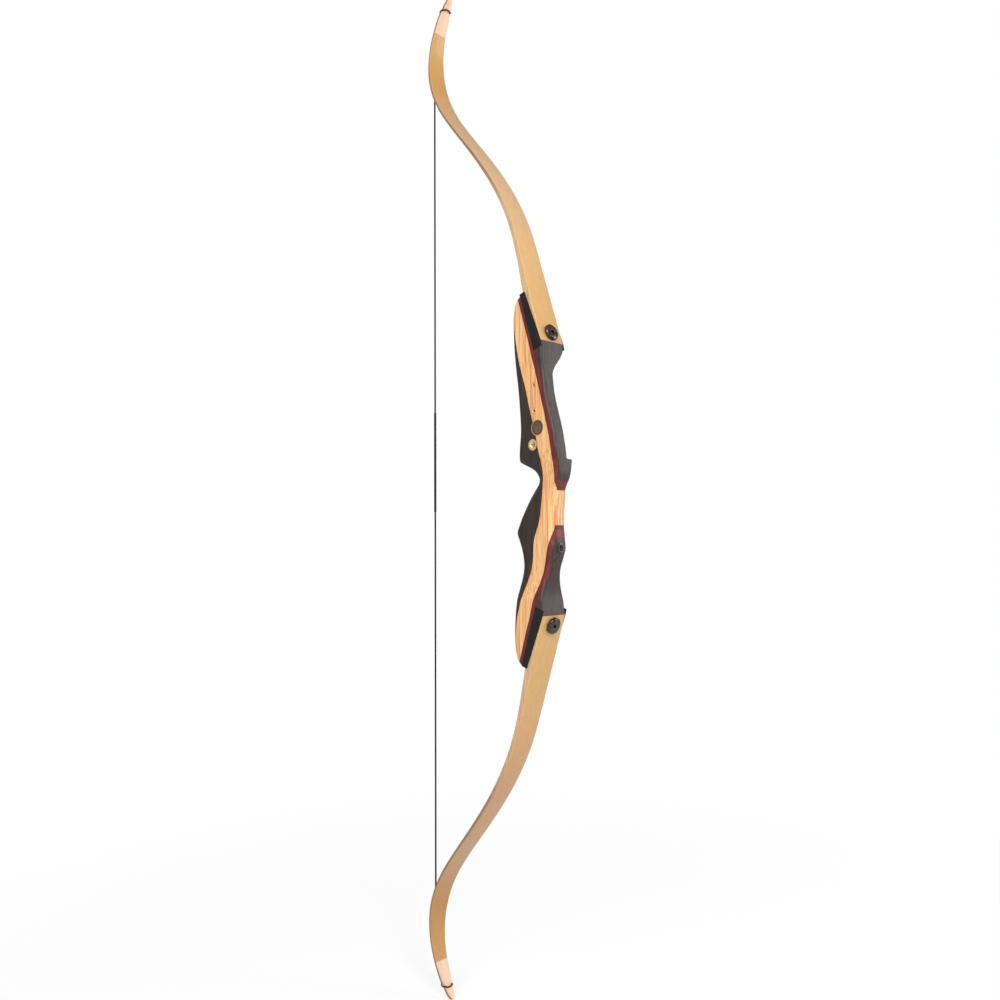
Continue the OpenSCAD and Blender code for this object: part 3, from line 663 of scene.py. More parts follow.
# Riser outline, as rows of (z, value)
BELLY_LINE = [
    (-238, -21), (-235, -25), (-229, -29.5), (-220, -33), (-207, -35.2), (-190, -35.6),
    (-168, -34), (-150, -31), (-134, -28.8), (-121, -27), (-110, -26), (-100, -26.8),
    (-88, -29.6), (-77, -34), (-70, -37.2), (-66, -37.6), (-60, -35), (-50, -30.6), (-38, -24),
    (-25, -16), (-12, -6.4), (-6, -1.8), (0, 0), (6, -1), (12, -4.4), (17, -12), (21, -20),
    (24, -25.2), (28, -26.2), (40, -24.6), (54, -23.4), (67, -22.8), (93, -24.4), (120, -27),
    (147, -30.8), (174, -34.4), (201, -35.4), (215, -34.4), (226, -31.6), (234, -28),
    (238, -24.5), (241, -20)]
FRONT_LINE = [
    (-241, 19), (-176, 17.6), (-168, 17), (-160, 16), (-150, 15), (-140, 15.6), (-129, 17.8),
    (-112, 22.8), (-98, 27.8), (-88, 30.2), (-76, 29), (-62, 27.8), (-40, 28.4), (-22, 30.8),
    (-12, 32), (-6, 34), (-1, 36.8), (5, 38.6), (12, 39.8), (22, 40.6), (27, 40.8), (35, 40.4),
    (48, 38.6), (61, 36.4), (74, 33), (87, 29.2), (100, 25.6), (113, 22.6), (126, 20.8),
    (139, 19.2), (152, 18), (165, 17.6), (176, 18), (241, 19)]
WAIST_ROWS = [
    (-130, WAIST_W / 2 + 2.2), (-116, WAIST_W / 2), (-100, WAIST_W / 2 + 0.5), (-80, GRIP_W / 2 - 0.5),
    (-55, GRIP_W / 2)]
RIGHT_LINE = [
    (-241, PAD_SIDE), (-156, PAD_SIDE), (-146, PAD_SIDE - 2), *WAIST_ROWS,
    (-20, GRIP_W / 2), (0, GRIP_W / 2 - 0.4), (12, GRIP_W / 2 + 0.6), (26, WINDOW_SIDE - 2),
    (40, WINDOW_SIDE), (60, WINDOW_SIDE), (126, WINDOW_SIDE), (145, WINDOW_SIDE + 0.6),
    (160, PAD_SIDE), (241, PAD_SIDE)]
LEFT_LINE = [
    (-241, LEFT_SIDE), (-156, LEFT_SIDE), (-146, LEFT_SIDE - 1.8), *WAIST_ROWS,
    (-25, GRIP_W / 2 - 0.5), (-12, SHELF_W + 2.4), (0, SHELF_W + 0.8), (12, SHELF_W), (26, SHELF_W),
    (40, SHELF_W + 4), (80, WINDOW_SIDE), (130, LEFT_SIDE), (241, LEFT_SIDE)]
BELLY_ROUND = [
    (-241, 1.5), (-225, 5), (-190, 8.5), (-150, 8), (-116, 6), (-90, 7), (-60, 10), (-20, 13),
    (0, 13), (12, 8), (22, 4), (60, 4.5), (140, 5), (165, 8.5), (200, 8.5), (225, 5), (241, 1.5)]
FRONT_ROUND = [
    (-241, 2), (-160, 2), (-140, 4), (-116, 8), (-90, 9), (-60, 10), (-14, 10), (-4, 7),
    (8, 3.6), (24, 1.5), (60, 3.2), (140, 3.2), (160, 2), (241, 2)]
RISER_LOW = BELLY_LINE[0][0]
RISER_HIGH = BELLY_LINE[-1][0]
SHELF_ROUND = 1.2
SHELF_FILLET = 3
CORNER_STEPS = 8
CORNER_GAP = 0.2
RING_STEP = 1.5
# Rings close to the shelf, as (from, to, step) above its height
SHELF_RINGS = ((-SHELF_ROUND, -0.01, 0.2), (0.001, 0.001, 1), (0.05, SHELF_FILLET, 0.3))


def window_wall(z):
    """How far to the left the riser reaches beside the sight window, or None past its ends."""
    wall = -PAST_CENTRE
    if z < SHELF_Z:
        return None
    if z < SHELF_Z + SHELF_FILLET:
        u = (SHELF_Z + SHELF_FILLET - z) / SHELF_FILLET
        return wall + SHELF_FILLET * (1 - math.sqrt(1 - u * u))
    if z < WINDOW_TOP:
        return wall
    u = (z - WINDOW_TOP) / WINDOW_RISE
    return None if u >= 1 else wall + (PAD_SIDE - wall) * u * u * (3 - 2 * u)


def left_edge(z):
    reach = smooth(LEFT_LINE, z)
    if SHELF_Z - SHELF_ROUND < z < SHELF_Z:
        drop = (z - SHELF_Z + SHELF_ROUND) / SHELF_ROUND
        reach -= SHELF_ROUND * (1 - math.sqrt(1 - drop * drop))
    wall = window_wall(z)
    return reach if wall is None else min(reach, wall)


def arc(x, y, r, start):
    turns = (math.radians(start + 90 * i / CORNER_STEPS) for i in range(CORNER_STEPS + 1))
    return [(x + r * math.cos(a), y + r * math.sin(a)) for a in turns]


def riser_ring(z):
    belly, front = smooth(BELLY_LINE, z), smooth(FRONT_LINE, z)
    near, wide = -smooth(RIGHT_LINE, z), left_edge(z)
    most = (wide - near) / 2 - CORNER_GAP
    rb, rf = min(smooth(BELLY_ROUND, z), most), min(smooth(FRONT_ROUND, z), most)
    points = (arc(belly + rb, near + rb, rb, 180) + arc(front - rf, near + rf, rf, 270)
              + arc(front - rf, wide - rf, rf, 0) + arc(belly + rb, wide - rb, rb, 90))
    return [(x, y, z) for x, y in points]


def riser_heights():
    step = RING_STEP
    heights = set(spread(RISER_LOW, RISER_HIGH, step))
    for low, high, step in SHELF_RINGS:
        heights |= set(spread(SHELF_Z + low, SHELF_Z + high, step))
    return sorted(heights)


# Lamination lines of the riser, as rows of (z, x)
BELLY_JOINT = [
    (-214, -38), (-207, -33.4), (-200, -31), (-181, -28), (-154, -20.4), (-141, -16.6),
    (-128, -13.6), (-116, -10.2), (-103, -7), (-90, -5.4), (-77, -3.4), (-64, 2), (-52, 6.5),
    (-39, 9), (-20, 11.5), (-1, 12.8), (12, 13), (25, 11.6), (38, 9.5), (64, 4), (91, -4.5),
    (118, -11.4), (145, -19.4), (172, -25), (200, -30.6), (207, -33.4), (214, -38)]
UPPER_JOINT = [
    (-14.4, 31), (-6, 31.6), (4, 32.2), (14, 32.2), (24, 31.8), (33, 31.2), (45, 29.8),
    (58, 27.2), (75, 22.8), (101, 15.8), (128, 8.6), (155, 1.8), (176, -3.7), (183, -5.7),
    (210, -14.2), (239, -23.2), (252, -27.2)]
LOWER_JOINT = [
    (-252, -29.6), (-232, -23.2), (-219, -19.2), (-206, -15), (-192, -10.6), (-179, -6.3),
    (-167, -2.9), (-154, 0.6), (-141, 4.6), (-128, 8.4), (-115, 12.2), (-102, 15), (-90, 18.2),
    (-77, 23.2), (-66, 26.4), (-58.5, 27.2)]
JOINT_STEP = 4
JOINT_CLEAR = 0.5
TOP_Z = RISER_LEN / 2 + FAR


def sampled(rows):
    return [(smooth(rows, z), z) for z in spread(rows[0][0], rows[-1][0], JOINT_STEP)]


def swell(height):
    """The share of its thickness that a veneer has, at a height from the front of the grip."""
    return SWELL_START + (1 - SWELL_START) * min(1, height / SWELL_LEN)


def edge(rows, way, dx=0, dz=0):
    """A veneer's edge: across the front of the grip, then along the joint; way is 1 up and -1 down."""
    grip_z = rows[::way][0][0]
    start = grip_z + way * dz
    past = [p for p in sampled(rows)[::way] if way * (p[1] - start) > JOINT_CLEAR]
    line = [(smooth(rows, start), start)] + past
    return [(FAR, start)] + [(x + dx * swell(way * (z - grip_z)), z) for x, z in line]


def riser_zones():
    """Side views of the laminations, as name: (slot, outline)."""
    belly = sampled(BELLY_JOINT)
    low, high = belly[0][1], belly[-1][1]
    zones = {
        "riser_belly_block": ("riser_dark_wood", belly + [(-FAR, high), (-FAR, low)]),
        "riser_core": ("riser_light_wood", edge(UPPER_JOINT, 1)[::-1] + edge(LOWER_JOINT, -1)
                       + [(-FAR, -TOP_Z), (-FAR, low)] + belly + [(-FAR, high), (-FAR, TOP_Z)]),
    }
    for (end, way), rows in zip(ENDS, (UPPER_JOINT, LOWER_JOINT)):
        joint = edge(rows, way)
        dark = edge(rows, way, DARK_T, DARK_STEP)
        red = edge(rows, way, DARK_T + RED_T, DARK_STEP + RED_STEP)
        corner = (FAR, rows[::way][-1][0])
        zones[f"riser_{end}_dark_veneer"] = ("dark_veneer", joint + dark[::-1])
        zones[f"riser_{end}_red_veneer"] = ("red_veneer", dark + red[::-1])
        zones[f"riser_{end}_front_block"] = ("riser_front_wood", red + [corner])
    return zones


LEAN = math.radians(PAD_LEAN)


def pad_place(side):
    """A limb pad's own frame: X out of the limb's back, Z along the limb. Side is 1 above, -1 below."""
    c, s = math.cos(LEAN), math.sin(LEAN)
    origin = (BUTT_X, 0, MID_Z + side * BUTT_Z)
    return frame_at(origin, (c, 0, side * s), (0, side, 0), (-s, 0, side * c))


def across_place(x, y, z):
    """Local X runs to the archer's left, from a point."""
    return frame_at((x, y, z), (0, 1, 0), (0, 0, 1), (1, 0, 0))


def shifted(place, x=0, y=0, z=0):
    return place @ Matrix.Translation((x, y, z))


def cut_bolt(body, low, high, place):
    bore(body, low, high, BOLT_R + BOLT_GAP, shifted(place, z=BOLT_S))


def cut_pins(body, low, high, radius, place):
    for y in (-PIN_Y, PIN_Y):
        bore(body, low, high, radius, shifted(place, y=y, z=PIN_S), PIN_SIDES)


def cut_pads(body):
    """The steps that the limbs and pockets sit in, and the holes for their bolts, inserts and pins."""
    for _, side in ENDS:
        place = pad_place(side)
        cut(body, box("tool", (WOOD_X, -FAR, -SEAT_GAP), (FAR, FAR, 2 * FAR), place))
        inner = POCKET_W / 2 - WALL_T - SEAT_GAP
        for low, high in ((inner, FAR), (-FAR, -inner)):
            cut(body, box("tool", (WOOD_X, low, -TAB_LEN), (FAR, high, 2 * FAR), place))
        bore(body, WOOD_X - INSERT_LEN, FAR, INSERT_R, shifted(place, z=BOLT_S))
        cut_bolt(body, WASHER_T - SHANK_LEN - HOLE_SPARE, FAR, place)
        cut_pins(body, PIN_LOW, FAR, PIN_R, place)


SIGHT_ZS = (SIGHT_Z - SIGHT_SPAN / 2, SIGHT_Z + SIGHT_SPAN / 2)
STAB_X = smooth(FRONT_LINE, STAB_Z)


def cut_seats(body):
    """The seats of the bushings and the inlay."""
    for z in SIGHT_ZS:
        bore(body, -1, SIGHT_LEN, SIGHT_R, across_place(SIGHT_X, -WINDOW_SIDE, z))
    plunger = across_place(0, -WINDOW_SIDE, PLUNGER_Z)
    bore(body, -1, FAR, PLUNGER_BARREL_R, plunger)
    bore(body, -1, FLANGE_T, PLUNGER_R, plunger)
    bore(body, -1, INLAY_T, INLAY_R, across_place(INLAY_X, -WINDOW_SIDE, INLAY_Z), FINE_SIDES)
    front = Matrix.Translation((STAB_X, 0, STAB_Z))
    bore(body, -STAB_LEN, STAB_LEN, STAB_BARREL_R, front)
    bore(body, -FLANGE_T, STAB_LEN, STAB_R, front)


def make_riser():
    body = skin("riser_body", [riser_ring(z) for z in riser_heights()])
    cut_pads(body)
    cut_seats(body)
    for name, (slot_name, outline) in riser_zones().items():
        piece = copied(body, name + "_wood")
        cut(piece, prism("tool", outline, -FAR, FAR), "INTERSECT")
        finish_piece(piece, slot_name, "riser", name, angle=30)
    bpy.data.objects.remove(body)


# Limb curve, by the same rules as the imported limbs
LIMB_LEAN = [PAD_LEAN, PAD_LEAN, PAD_LEAN - 0.5, 18.8, 27.2, 33.9, 38.3, 40, 37.2, 24.5, 2.6, -19.5, -33.5]
LEAN_ROWS = [(i / (len(LIMB_LEAN) - 1), a) for i, a in enumerate(LIMB_LEAN)]
THICK_ROWS = [
    (0, BUTT_T), (0.08, BUTT_T), (0.12, BUTT_T - 0.4), (0.21, (BUTT_T + FADE_T) / 2 - 1), (0.33, FADE_T),
    (0.5, (FADE_T + TIP_T) / 2 - 0.2), (0.7, TIP_T), (1, TIP_T)]
WIDTH_ROWS = [
    (0, BUTT_W), (0.1, BUTT_W - 1), (0.22, MID_W + 2), (0.35, MID_W + 0.2), (0.5, MID_W), (0.6, MID_W),
    (0.7, CURVE_W + 0.4), (0.78, CURVE_W - 2.2), (0.85, CURVE_W - 7.4), (0.95, TIP_W + 5.2),
    (0.958, TIP_W + 3.4), (0.97, TIP_W), (0.98, TIP_W - 1.8), (0.987, TIP_W - 3.8), (0.9935, TIP_W - 6.8),
    (1, 2)]
LIMB_STEPS = 56
LIMB_STEP = LIMB_LEN / LIMB_STEPS
NOCK_S = LIMB_LEN - NOCK_BACK


def lean(s):
    return math.radians(smooth(LEAN_ROWS, s / LIMB_LEN))


def limb_spine():
    points = [np.array([BUTT_X, BUTT_Z], float)]
    for i in range(LIMB_STEPS):
        a = lean((i + 0.5) * LIMB_STEP)
        points.append(points[-1] + LIMB_STEP * np.array([-math.sin(a), math.cos(a)]))
    return points


SPINE = limb_spine()


def limb_at(s, depth):
    """(x, z) at distance s along the upper limb and a depth under its back face."""
    u = s / LIMB_STEP
    i = min(int(u), LIMB_STEPS - 1)
    f = u - i
    a = lean(s)
    before, after = SPINE[max(i - 1, 0)], SPINE[min(i + 2, LIMB_STEPS)]
    p, q = SPINE[i], SPINE[i + 1]
    chord = p * (1 - f) + q * f
    bend = (p - before) - (after - q)
    on_curve = chord + 0.25 * f * (1 - f) * bend
    return on_curve - depth * np.array([math.cos(a), math.sin(a)])


def thick(s):
    return smooth(THICK_ROWS, s / LIMB_LEN)


def wedge(s):
    return 0 if s >= WEDGE_LEN else WEDGE_T * (1 - (s / WEDGE_LEN) ** WEDGE_CURVE)


def overlay(s):
    reach = s - LIMB_LEN + OVERLAY_LEN
    return 0 if reach <= 0 else OVERLAY_T * (reach / OVERLAY_LEN) ** OVERLAY_CURVE


NOCK_OUT = 0.3
NOCK_Y = smooth(WIDTH_ROWS, NOCK_S / LIMB_LEN) / 2 + NOCK_OUT
GROOVE_RUN = math.tan(math.radians(GROOVE_TILT))


def half_width(s, depth):
    """Half the limb's width, less the string groove where it passes."""
    half = smooth(WIDTH_ROWS, s / LIMB_LEN) / 2
    off = (s - NOCK_S + GROOVE_RUN * depth) * math.cos(math.radians(GROOVE_TILT))
    if abs(off) < NOCK_R:
        half = min(half, NOCK_Y - math.sqrt(NOCK_R ** 2 - off ** 2))
    return half


EDGE_R = 0.8
OVERLAY_EDGE_R = 0.9
FINE_FROM = LIMB_LEN - 32
SLICE_STEP = 4
TIP_STEP = 0.4
LIMB_SLICES = spread(0, FINE_FROM, SLICE_STEP) + spread(FINE_FROM, LIMB_LEN, TIP_STEP)[1:]
SLICE_SLACK = 0.01
ROUND_TURNS = (90, 67, 45, 22, 0)
ROUND_SHARE = 0.8


def rounded_edge(face, r, way):
    """(depth, inset) points round a lamination's edge; way is 1 at its back and -1 at its belly."""
    if not r:
        return [(face, 0)]
    turns = [math.radians(x) for x in ROUND_TURNS[::way]]
    return [(face + way * r * (1 - math.sin(a)), r * (1 - math.cos(a))) for a in turns]


def slab(name, top, bottom, low=0, high=LIMB_LEN, round_top=0, round_bottom=0):
    """A lamination between two depths, its outer edges rounded."""
    rings = []
    for s in [s for s in LIMB_SLICES if low - SLICE_SLACK <= s <= high + SLICE_SLACK]:
        t, b = top(s), bottom(s)
        most = (b - t) * ROUND_SHARE
        side = rounded_edge(t, min(round_top, most), 1) + rounded_edge(b, min(round_bottom, most), -1)
        ring = []
        for sign, part in ((1, side), (-1, side[::-1])):
            for depth, inset in part:
                x, z = limb_at(s, depth)
                ring.append((x, sign * (half_width(s, depth) - inset), z + MID_Z))
        rings.append(ring)
    return skin(name, rings)


def drill(piece, pins):
    """The bolt's hole and, in the inner laminations, the pins' blind holes."""
    place = pad_place(1)
    cut_bolt(piece, -2 * BUTT_T, BUTT_T, place)
    if pins:
        cut_pins(piece, FLOOR_X - 1, FLOOR_X + PIN_UP + SEAT_GAP, PIN_R + RUN_GAP, place)
    return piece


# Where a limb's bend starts and ends, from its butt
FLEX_START = 150
FLEX_END = 430


def limb_piece(base, slot_name, node_name, piece, bends=True):
    """Sets a lamination and its mirror twin on the two limbs."""
    for end, side, mine in pair(piece, base):
        finish_piece(mine, slot_name, None if bends else end + "_limb", f"{end}_{node_name}")
        if bends:
            ends = [limb_at(s, 0) for s in (FLEX_START, FLEX_END)]
            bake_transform(mine)


def belly_top(s):
    """Depth of the belly glass."""
    return thick(s) - GLASS_T


def core_low(s):
    """Depth of the wedge, under the core."""
    return belly_top(s) - wedge(s)


# How far a tapered lamination stops short of its thin end
FEATHER = 1


def make_limbs():
    back = slab("back", lambda s: 0, lambda s: GLASS_T, round_top=EDGE_R)
    limb_piece("back_glass", "limb_glass", "limb_back_glass", drill(back, False))
    core = slab("core", lambda s: GLASS_T, core_low)
    limb_piece("core", "limb_wood", "limb_core", drill(core, True))
    belly = slab("belly", belly_top, thick, round_bottom=EDGE_R)
    limb_piece("belly_glass", "limb_glass", "limb_belly_glass", drill(belly, True))
    fill = slab("wedge", core_low, belly_top, high=WEDGE_LEN - FEATHER)
    limb_piece("wedge", "limb_wood", "limb_wedge", drill(fill, True))
    low = LIMB_LEN - OVERLAY_LEN + FEATHER
    tip = slab("overlay", lambda s: -overlay(s), lambda s: 0, low=low, round_top=OVERLAY_EDGE_R)
    limb_piece("overlay", "tip_overlay", "tip_overlay", tip, bends=False)


# Pockets
POCKET_EDGE = 0.4


def make_pocket():
    """A floor under the limb's butt, with a wall at each side that runs on past the butt as a tab."""
    place = pad_place(1)
    length = PAD_LEN + POCKET_OVER
    half = POCKET_W / 2
    pocket = box("pocket", (WOOD_X, -half, 0), (FLOOR_X, half, length), place)
    wall = [(WOOD_X, -TAB_LEN), (TAB_X, -TAB_LEN), (WALL_X, 0), (FLOOR_X + WALL_LOW, length),
            (WOOD_X, length)]
    for low in (-half, half - WALL_T):
        rings = [[placed((x, y, z), place) for x, z in wall] for y in (low, low + WALL_T)]
        cut(pocket, skin("tool", rings), "UNION")
    cut_bolt(pocket, -FAR, FAR, place)
    cut_pins(pocket, -FAR, FAR, PIN_R, place)
    bevelled(pocket, POCKET_EDGE)
    for end, _, mine in pair(pocket, "pocket"):
        finish_piece(mine, "pocket_plastic", "riser", end + "_limb_pocket")


# Bolts, washers, inserts and pins
BOLT_THREAD = 0.55
PLAIN_LEN = 9
DISH_R = 4.4
NOTCHES = 8
NOTCH_R = 2
NOTCH_OUT = 0.9
HEX_DEPTH = 3
BOLT_EDGE = 0.25
INSERT_THREAD = 0.9


def make_bolt(end, place):
    """A threaded shank and a round head, with notches round its rim and a hex socket."""
    at = shifted(place, x=WASHER_T, z=BOLT_S)
    rows = offsets(-SHANK_LEN, BOLT_R, (0, -1.4), (0.9, -0.5))
    rows += threaded(-SHANK_LEN + 1, -PLAIN_LEN, BOLT_R - BOLT_THREAD, BOLT_THREAD, FINE_PITCH)
    rows += offsets(0, BOLT_R, (0.2 - PLAIN_LEN, 0), (0, 0)) + offsets(0, HEAD_R, (0, -0.5), (0.5, 0))
    rows += offsets(HEAD_T, HEAD_R, (-1.7, 0), (-1.2, -0.15), (-0.5, -0.9), (-0.12, -1.7), (0, -2.4))
    rows += offsets(HEAD_T, DISH_R, (0, 0), (-0.5, -0.5))
    bolt = lathe("bolt", rows, at, FINE_SIDES)
    for i in range(NOTCHES):
        a = 2 * math.pi * (i + 0.5) / NOTCHES
        away = HEAD_R + NOTCH_OUT
        notch = shifted(at, y=away * math.cos(a), z=away * math.sin(a))
        bore(bolt, -0.5, HEAD_T + 1, NOTCH_R, notch, 24)
    bore(bolt, HEAD_T - HEX_DEPTH, HEAD_T + 1, HEX_AF / math.sqrt(3), at, 6)
    bevelled(bolt, BOLT_EDGE, 50)
    finish_piece(bolt, "gunmetal", end + "_bolt", end + "_limb_bolt")
    bolt.name = end + "_bolt_dressed"


def make_washer(end, place):
    hole = BOLT_R + BOLT_GAP
    rows = plain((0, hole)) + offsets(0, WASHER_R, (0, -0.2), (0.2, 0))
    rows += offsets(WASHER_T, WASHER_R, (-0.2, 0), (0, -0.2)) + plain((WASHER_T, hole))
    at = shifted(place, z=BOLT_S)
    turned(end + "_washer", rows, at, FINE_SIDES, "black_steel", end + "_bolt_washer")


def make_insert(end, place):
    """A coarse thread in the wood outside, and the bolt's thread inside."""
    hole = BOLT_R + RUN_GAP
    low = WOOD_X - INSERT_LEN
    rows = plain((low, hole + 0.3), (low, INSERT_R - 1.2))
    rows += threaded(low + 1, WOOD_X - 1, INSERT_R - INSERT_THREAD, INSERT_THREAD, COARSE_PITCH)
    rows += plain((WOOD_X, INSERT_R - 0.4), (WOOD_X, hole + 0.3))
    rows += threaded(low + 1, WOOD_X - 0.6, hole, THREAD_DEPTH, FINE_PITCH)[::-1]
    at = shifted(place, z=BOLT_S)
    turned(end + "_insert", rows, at, SIDES, "brass", end + "_bolt_insert")


def make_pins(end, place):
    for y, label in ((-PIN_Y, "right"), (PIN_Y, "left")):
        rows = offsets(PIN_LOW, PIN_R, (0, -0.6), (0.6, 0))
        rows += offsets(PIN_LOW + PIN_LEN, PIN_R, (-0.6, 0), (0, -0.6))
        at = shifted(place, y=y, z=PIN_S)
        turned(f"{end}_pin_{label}", rows, at, PIN_SIDES, "steel", end + "_locating_pins", hollow=False)


def make_fastenings():
    for end, side in ENDS:
        place = pad_place(side)
        make_bolt(end, place)
        make_washer(end, place)
        make_insert(end, place)
        make_pins(end, place)


# Bushings and inlay. BLIND_R is the pinhole left where a blind bore ends.
BLIND_R = 0.4
SIGHT_END = 1.5
SIGHT_THREAD = 0.3
PLUNGER_PROUD = 0.4
STAB_PROUD = 0.6
STAB_END = 3


def make_sight_bushings():
    for z, label in zip(SIGHT_ZS, ("lower", "upper")):
        rows = plain((0, SIGHT_HOLE_R + 0.9)) + offsets(0, SIGHT_R, (0, -0.35), (0.3, 0), (SIGHT_LEN, 0))
        rows += offsets(SIGHT_LEN, BLIND_R, (0, 0), (-SIGHT_END, 0))
        rows += threaded(0.7, SIGHT_LEN - SIGHT_END, SIGHT_HOLE_R, SIGHT_THREAD, FINE_PITCH)[::-1]
        at = across_place(SIGHT_X, -WINDOW_SIDE, z)
        turned("sight_bushing_" + label, rows, at, SIDES, "brass", "sight_bushings")


def make_plunger_bushing():
    end = WINDOW_SIDE - PAST_CENTRE
    rows = plain((-PLUNGER_PROUD, THREAD_R + 1.1))
    rows += offsets(0, PLUNGER_R, (-PLUNGER_PROUD, -0.9), (-0.1, -0.2), (0.3, 0), (FLANGE_T, 0))
    rows += plain((FLANGE_T, PLUNGER_BARREL_R)) + offsets(end, PLUNGER_BARREL_R, (-0.4, 0), (0, -0.4))
    rows += plain((end, THREAD_R + 0.5))
    rows += threaded(0.8, end - 0.5, THREAD_R, THREAD_DEPTH, FINE_PITCH)[::-1]
    at = across_place(0, -WINDOW_SIDE, PLUNGER_Z)
    turned("plunger_bushing_dressed", rows, at, FINE_SIDES, "brass", "plunger_bushing")


def make_stabilizer_bushing():
    rows = plain((STAB_PROUD, THREAD_R + 0.9))
    rows += offsets(0, STAB_R, (STAB_PROUD, -0.6), (0.2, 0), (-FLANGE_T, 0))
    rows += plain((-FLANGE_T, STAB_BARREL_R), (-STAB_LEN, STAB_BARREL_R))
    rows += offsets(-STAB_LEN, BLIND_R, (0, 0), (STAB_END, 0))
    rows += threaded(-STAB_LEN + STAB_END, -0.5, THREAD_R, THREAD_DEPTH, FINE_PITCH)
    at = Matrix.Translation((STAB_X, 0, STAB_Z))
    turned("stabilizer_bushing_dressed", rows, at, FINE_SIDES, "black_steel", "stabilizer_bushing")


def make_inlay():
    """A disc with a raised rim and a slightly crowned middle."""
    rows = plain((INLAY_T, INLAY_R))
    rows += offsets(0, INLAY_R, (0.1, 0), (-0.2, -0.4), (-0.2, -1.3), (0, -1.6))
    rows += plain((-0.12, INLAY_R * 0.6), (-0.18, 0.3))
    at = across_place(INLAY_X, -WINDOW_SIDE, INLAY_Z)
    turned("inlay_disc", rows, at, FINE_SIDES, "inlay", "riser_inlay", hollow=False)


# Bowstring: where it lies on the limb, and the distance along the limb where it lifts off
STRING_OFF = STRING_R + 0.1
LIMB_S = [i * LIMB_STEP for i in range(LIMB_STEPS + 1)]
LIE_X = [limb_at(s, thick(s) + STRING_OFF)[0] for s in LIMB_S]
STRING_X = min(LIE_X)
LIFT_S = LIMB_S[LIE_X.index(STRING_X)]
LIFT_EASE = 6
STRING_END = NOCK_S - LEG_LEN
STRING_STEP = 1.6
STRAND_TWIST = 15
STRANDS = 7
STRAND_SIDES = 24
STRAND_GROOVE = 0.12
LEG_RINGS = 8
LOOP_STEP = 0.35
LOOP_SIDES = 16
SERVING_STEP = 0.12
SERVING_SIDES = 20
SERVING_BORE = STRING_R + 0.02
# Windings, as (pitch, depth of the groove between turns)
LOOP_WIND = (1.0, 0.2)
SERVING_WIND = (0.6, 0.14)
THREAD_ANGLE = 60
# The swing at full draw, in degrees, and the distances below the nock where the string's pieces part
STRING_SWING = {"upper": 52.1, "lower": 49.4}
STRING_CUTS = (260, 160, 110, 80, 64)
NOCK_AT = limb_at(NOCK_S, thick(NOCK_S) / 2)


def string_route(from_z):
    """From the nocking point's height above the mirror plane to the end loop's legs."""
    top = limb_at(LIFT_S, thick(LIFT_S) + STRING_OFF)[1]
    route = [(STRING_X, 0, z) for z in spread(from_z, top - LIFT_EASE, STRING_STEP)]
    lying = [limb_at(s, thick(s) + STRING_OFF) for s in spread(LIFT_S, STRING_END, STRING_STEP)]
    return route + [(x, 0, z) for x, z in lying]


def strand_surface(run, angle):
    twist = 2 * math.pi * run / STRAND_TWIST
    return STRING_R - STRAND_GROOVE * (1 - abs(math.cos(STRANDS * (angle + twist) / 2)))


def wound_surface(radius, pitch, depth):
    """The surface of a winding, for tube_rings."""
    def surface(run, angle):
        turn = run / pitch + angle / (2 * math.pi)
        return radius - depth * (1 - abs(math.sin(math.pi * turn)))

    return surface


def lifted(points, side):
    """Route points from heights above the mirror plane to the bow's own frame."""
    return [(x, y, MID_Z + side * z) for x, y, z in points]


def loop_at(s, y, depth):
    x, z = limb_at(s, depth)
    return (x, y, z)


def loop_route():
    """Up one leg on the belly, through the grooves and over the tip's back, and down the other leg."""
    off = LOOP_R + LOOP_LIFT
    back_off = overlay(NOCK_S) + off
    belly_s = NOCK_S - GROOVE_RUN * (thick(NOCK_S) + off)
    back_s = NOCK_S + GROOVE_RUN * back_off
    leg_y = LOOP_R + 0.1
    groove_y = NOCK_Y - LOOP_SUNK
    leg = []
    for i in range(LEG_RINGS + 1):
        u = i / LEG_RINGS
        s = STRING_END + (belly_s - STRING_END) * u
        leg.append(loop_at(s, leg_y + (groove_y - leg_y) * u * u, thick(s) + off))
    leg.append(loop_at(NOCK_S, groove_y, 0))
    leg.append(loop_at(back_s - 0.2, groove_y - 0.7, 0.2 - back_off))
    leg.append(loop_at(back_s + 0.8, groove_y * 0.5, -back_off))
    top = loop_at(back_s + 1.1, 0, -back_off)
    return leg + [top] + [(x, -y, z) for x, y, z in reversed(leg)]


def drop_of(point):
    """How far a route point lies below the nock."""
    return NOCK_AT[1] - point[2]


def hang_of(point):
    """The angle, in degrees, between straight down and the line from the nock to a route point."""
    return math.degrees(math.atan2(NOCK_AT[0] - point[0], drop_of(point)))


def blend_string(piece):
    """Bakes a piece's place into its mesh."""
    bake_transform(piece)


def make_string_half(end, side, stiff_z):
    """The strands in pieces parted below the nock; the first reaches the serving and is on the string's
    body.
    """
    route = string_route(side * (NOCKING_Z - MID_Z))
    rings = tube_rings(lifted(route, side), strand_surface, STRAND_SIDES)
    cuts = (NOCK_AT[1] - side * (stiff_z - MID_Z), *STRING_CUTS)
    marks = [0] + [next(i for i, p in enumerate(route) if drop_of(p) <= drop) for drop in cuts]
    marks.append(len(route) - 1)
    straight = hang_of(route[marks[1]])

    def at(i):
        return drop_of(route[i]), 1 - (hang_of(route[i]) - straight) / STRING_SWING[end]

    for k, (i, j) in enumerate(zip(marks, marks[1:])):
        piece = skin(f"{end}_string_strands_{k}", rings[i:j + 1])
        body = None if k else end + "_string"
        finish_piece(piece, "bowstring", body, f"bowstring_{end}_half", angle=THREAD_ANGLE)
        if k:
            blend_string(piece)
    return at(marks[-1])


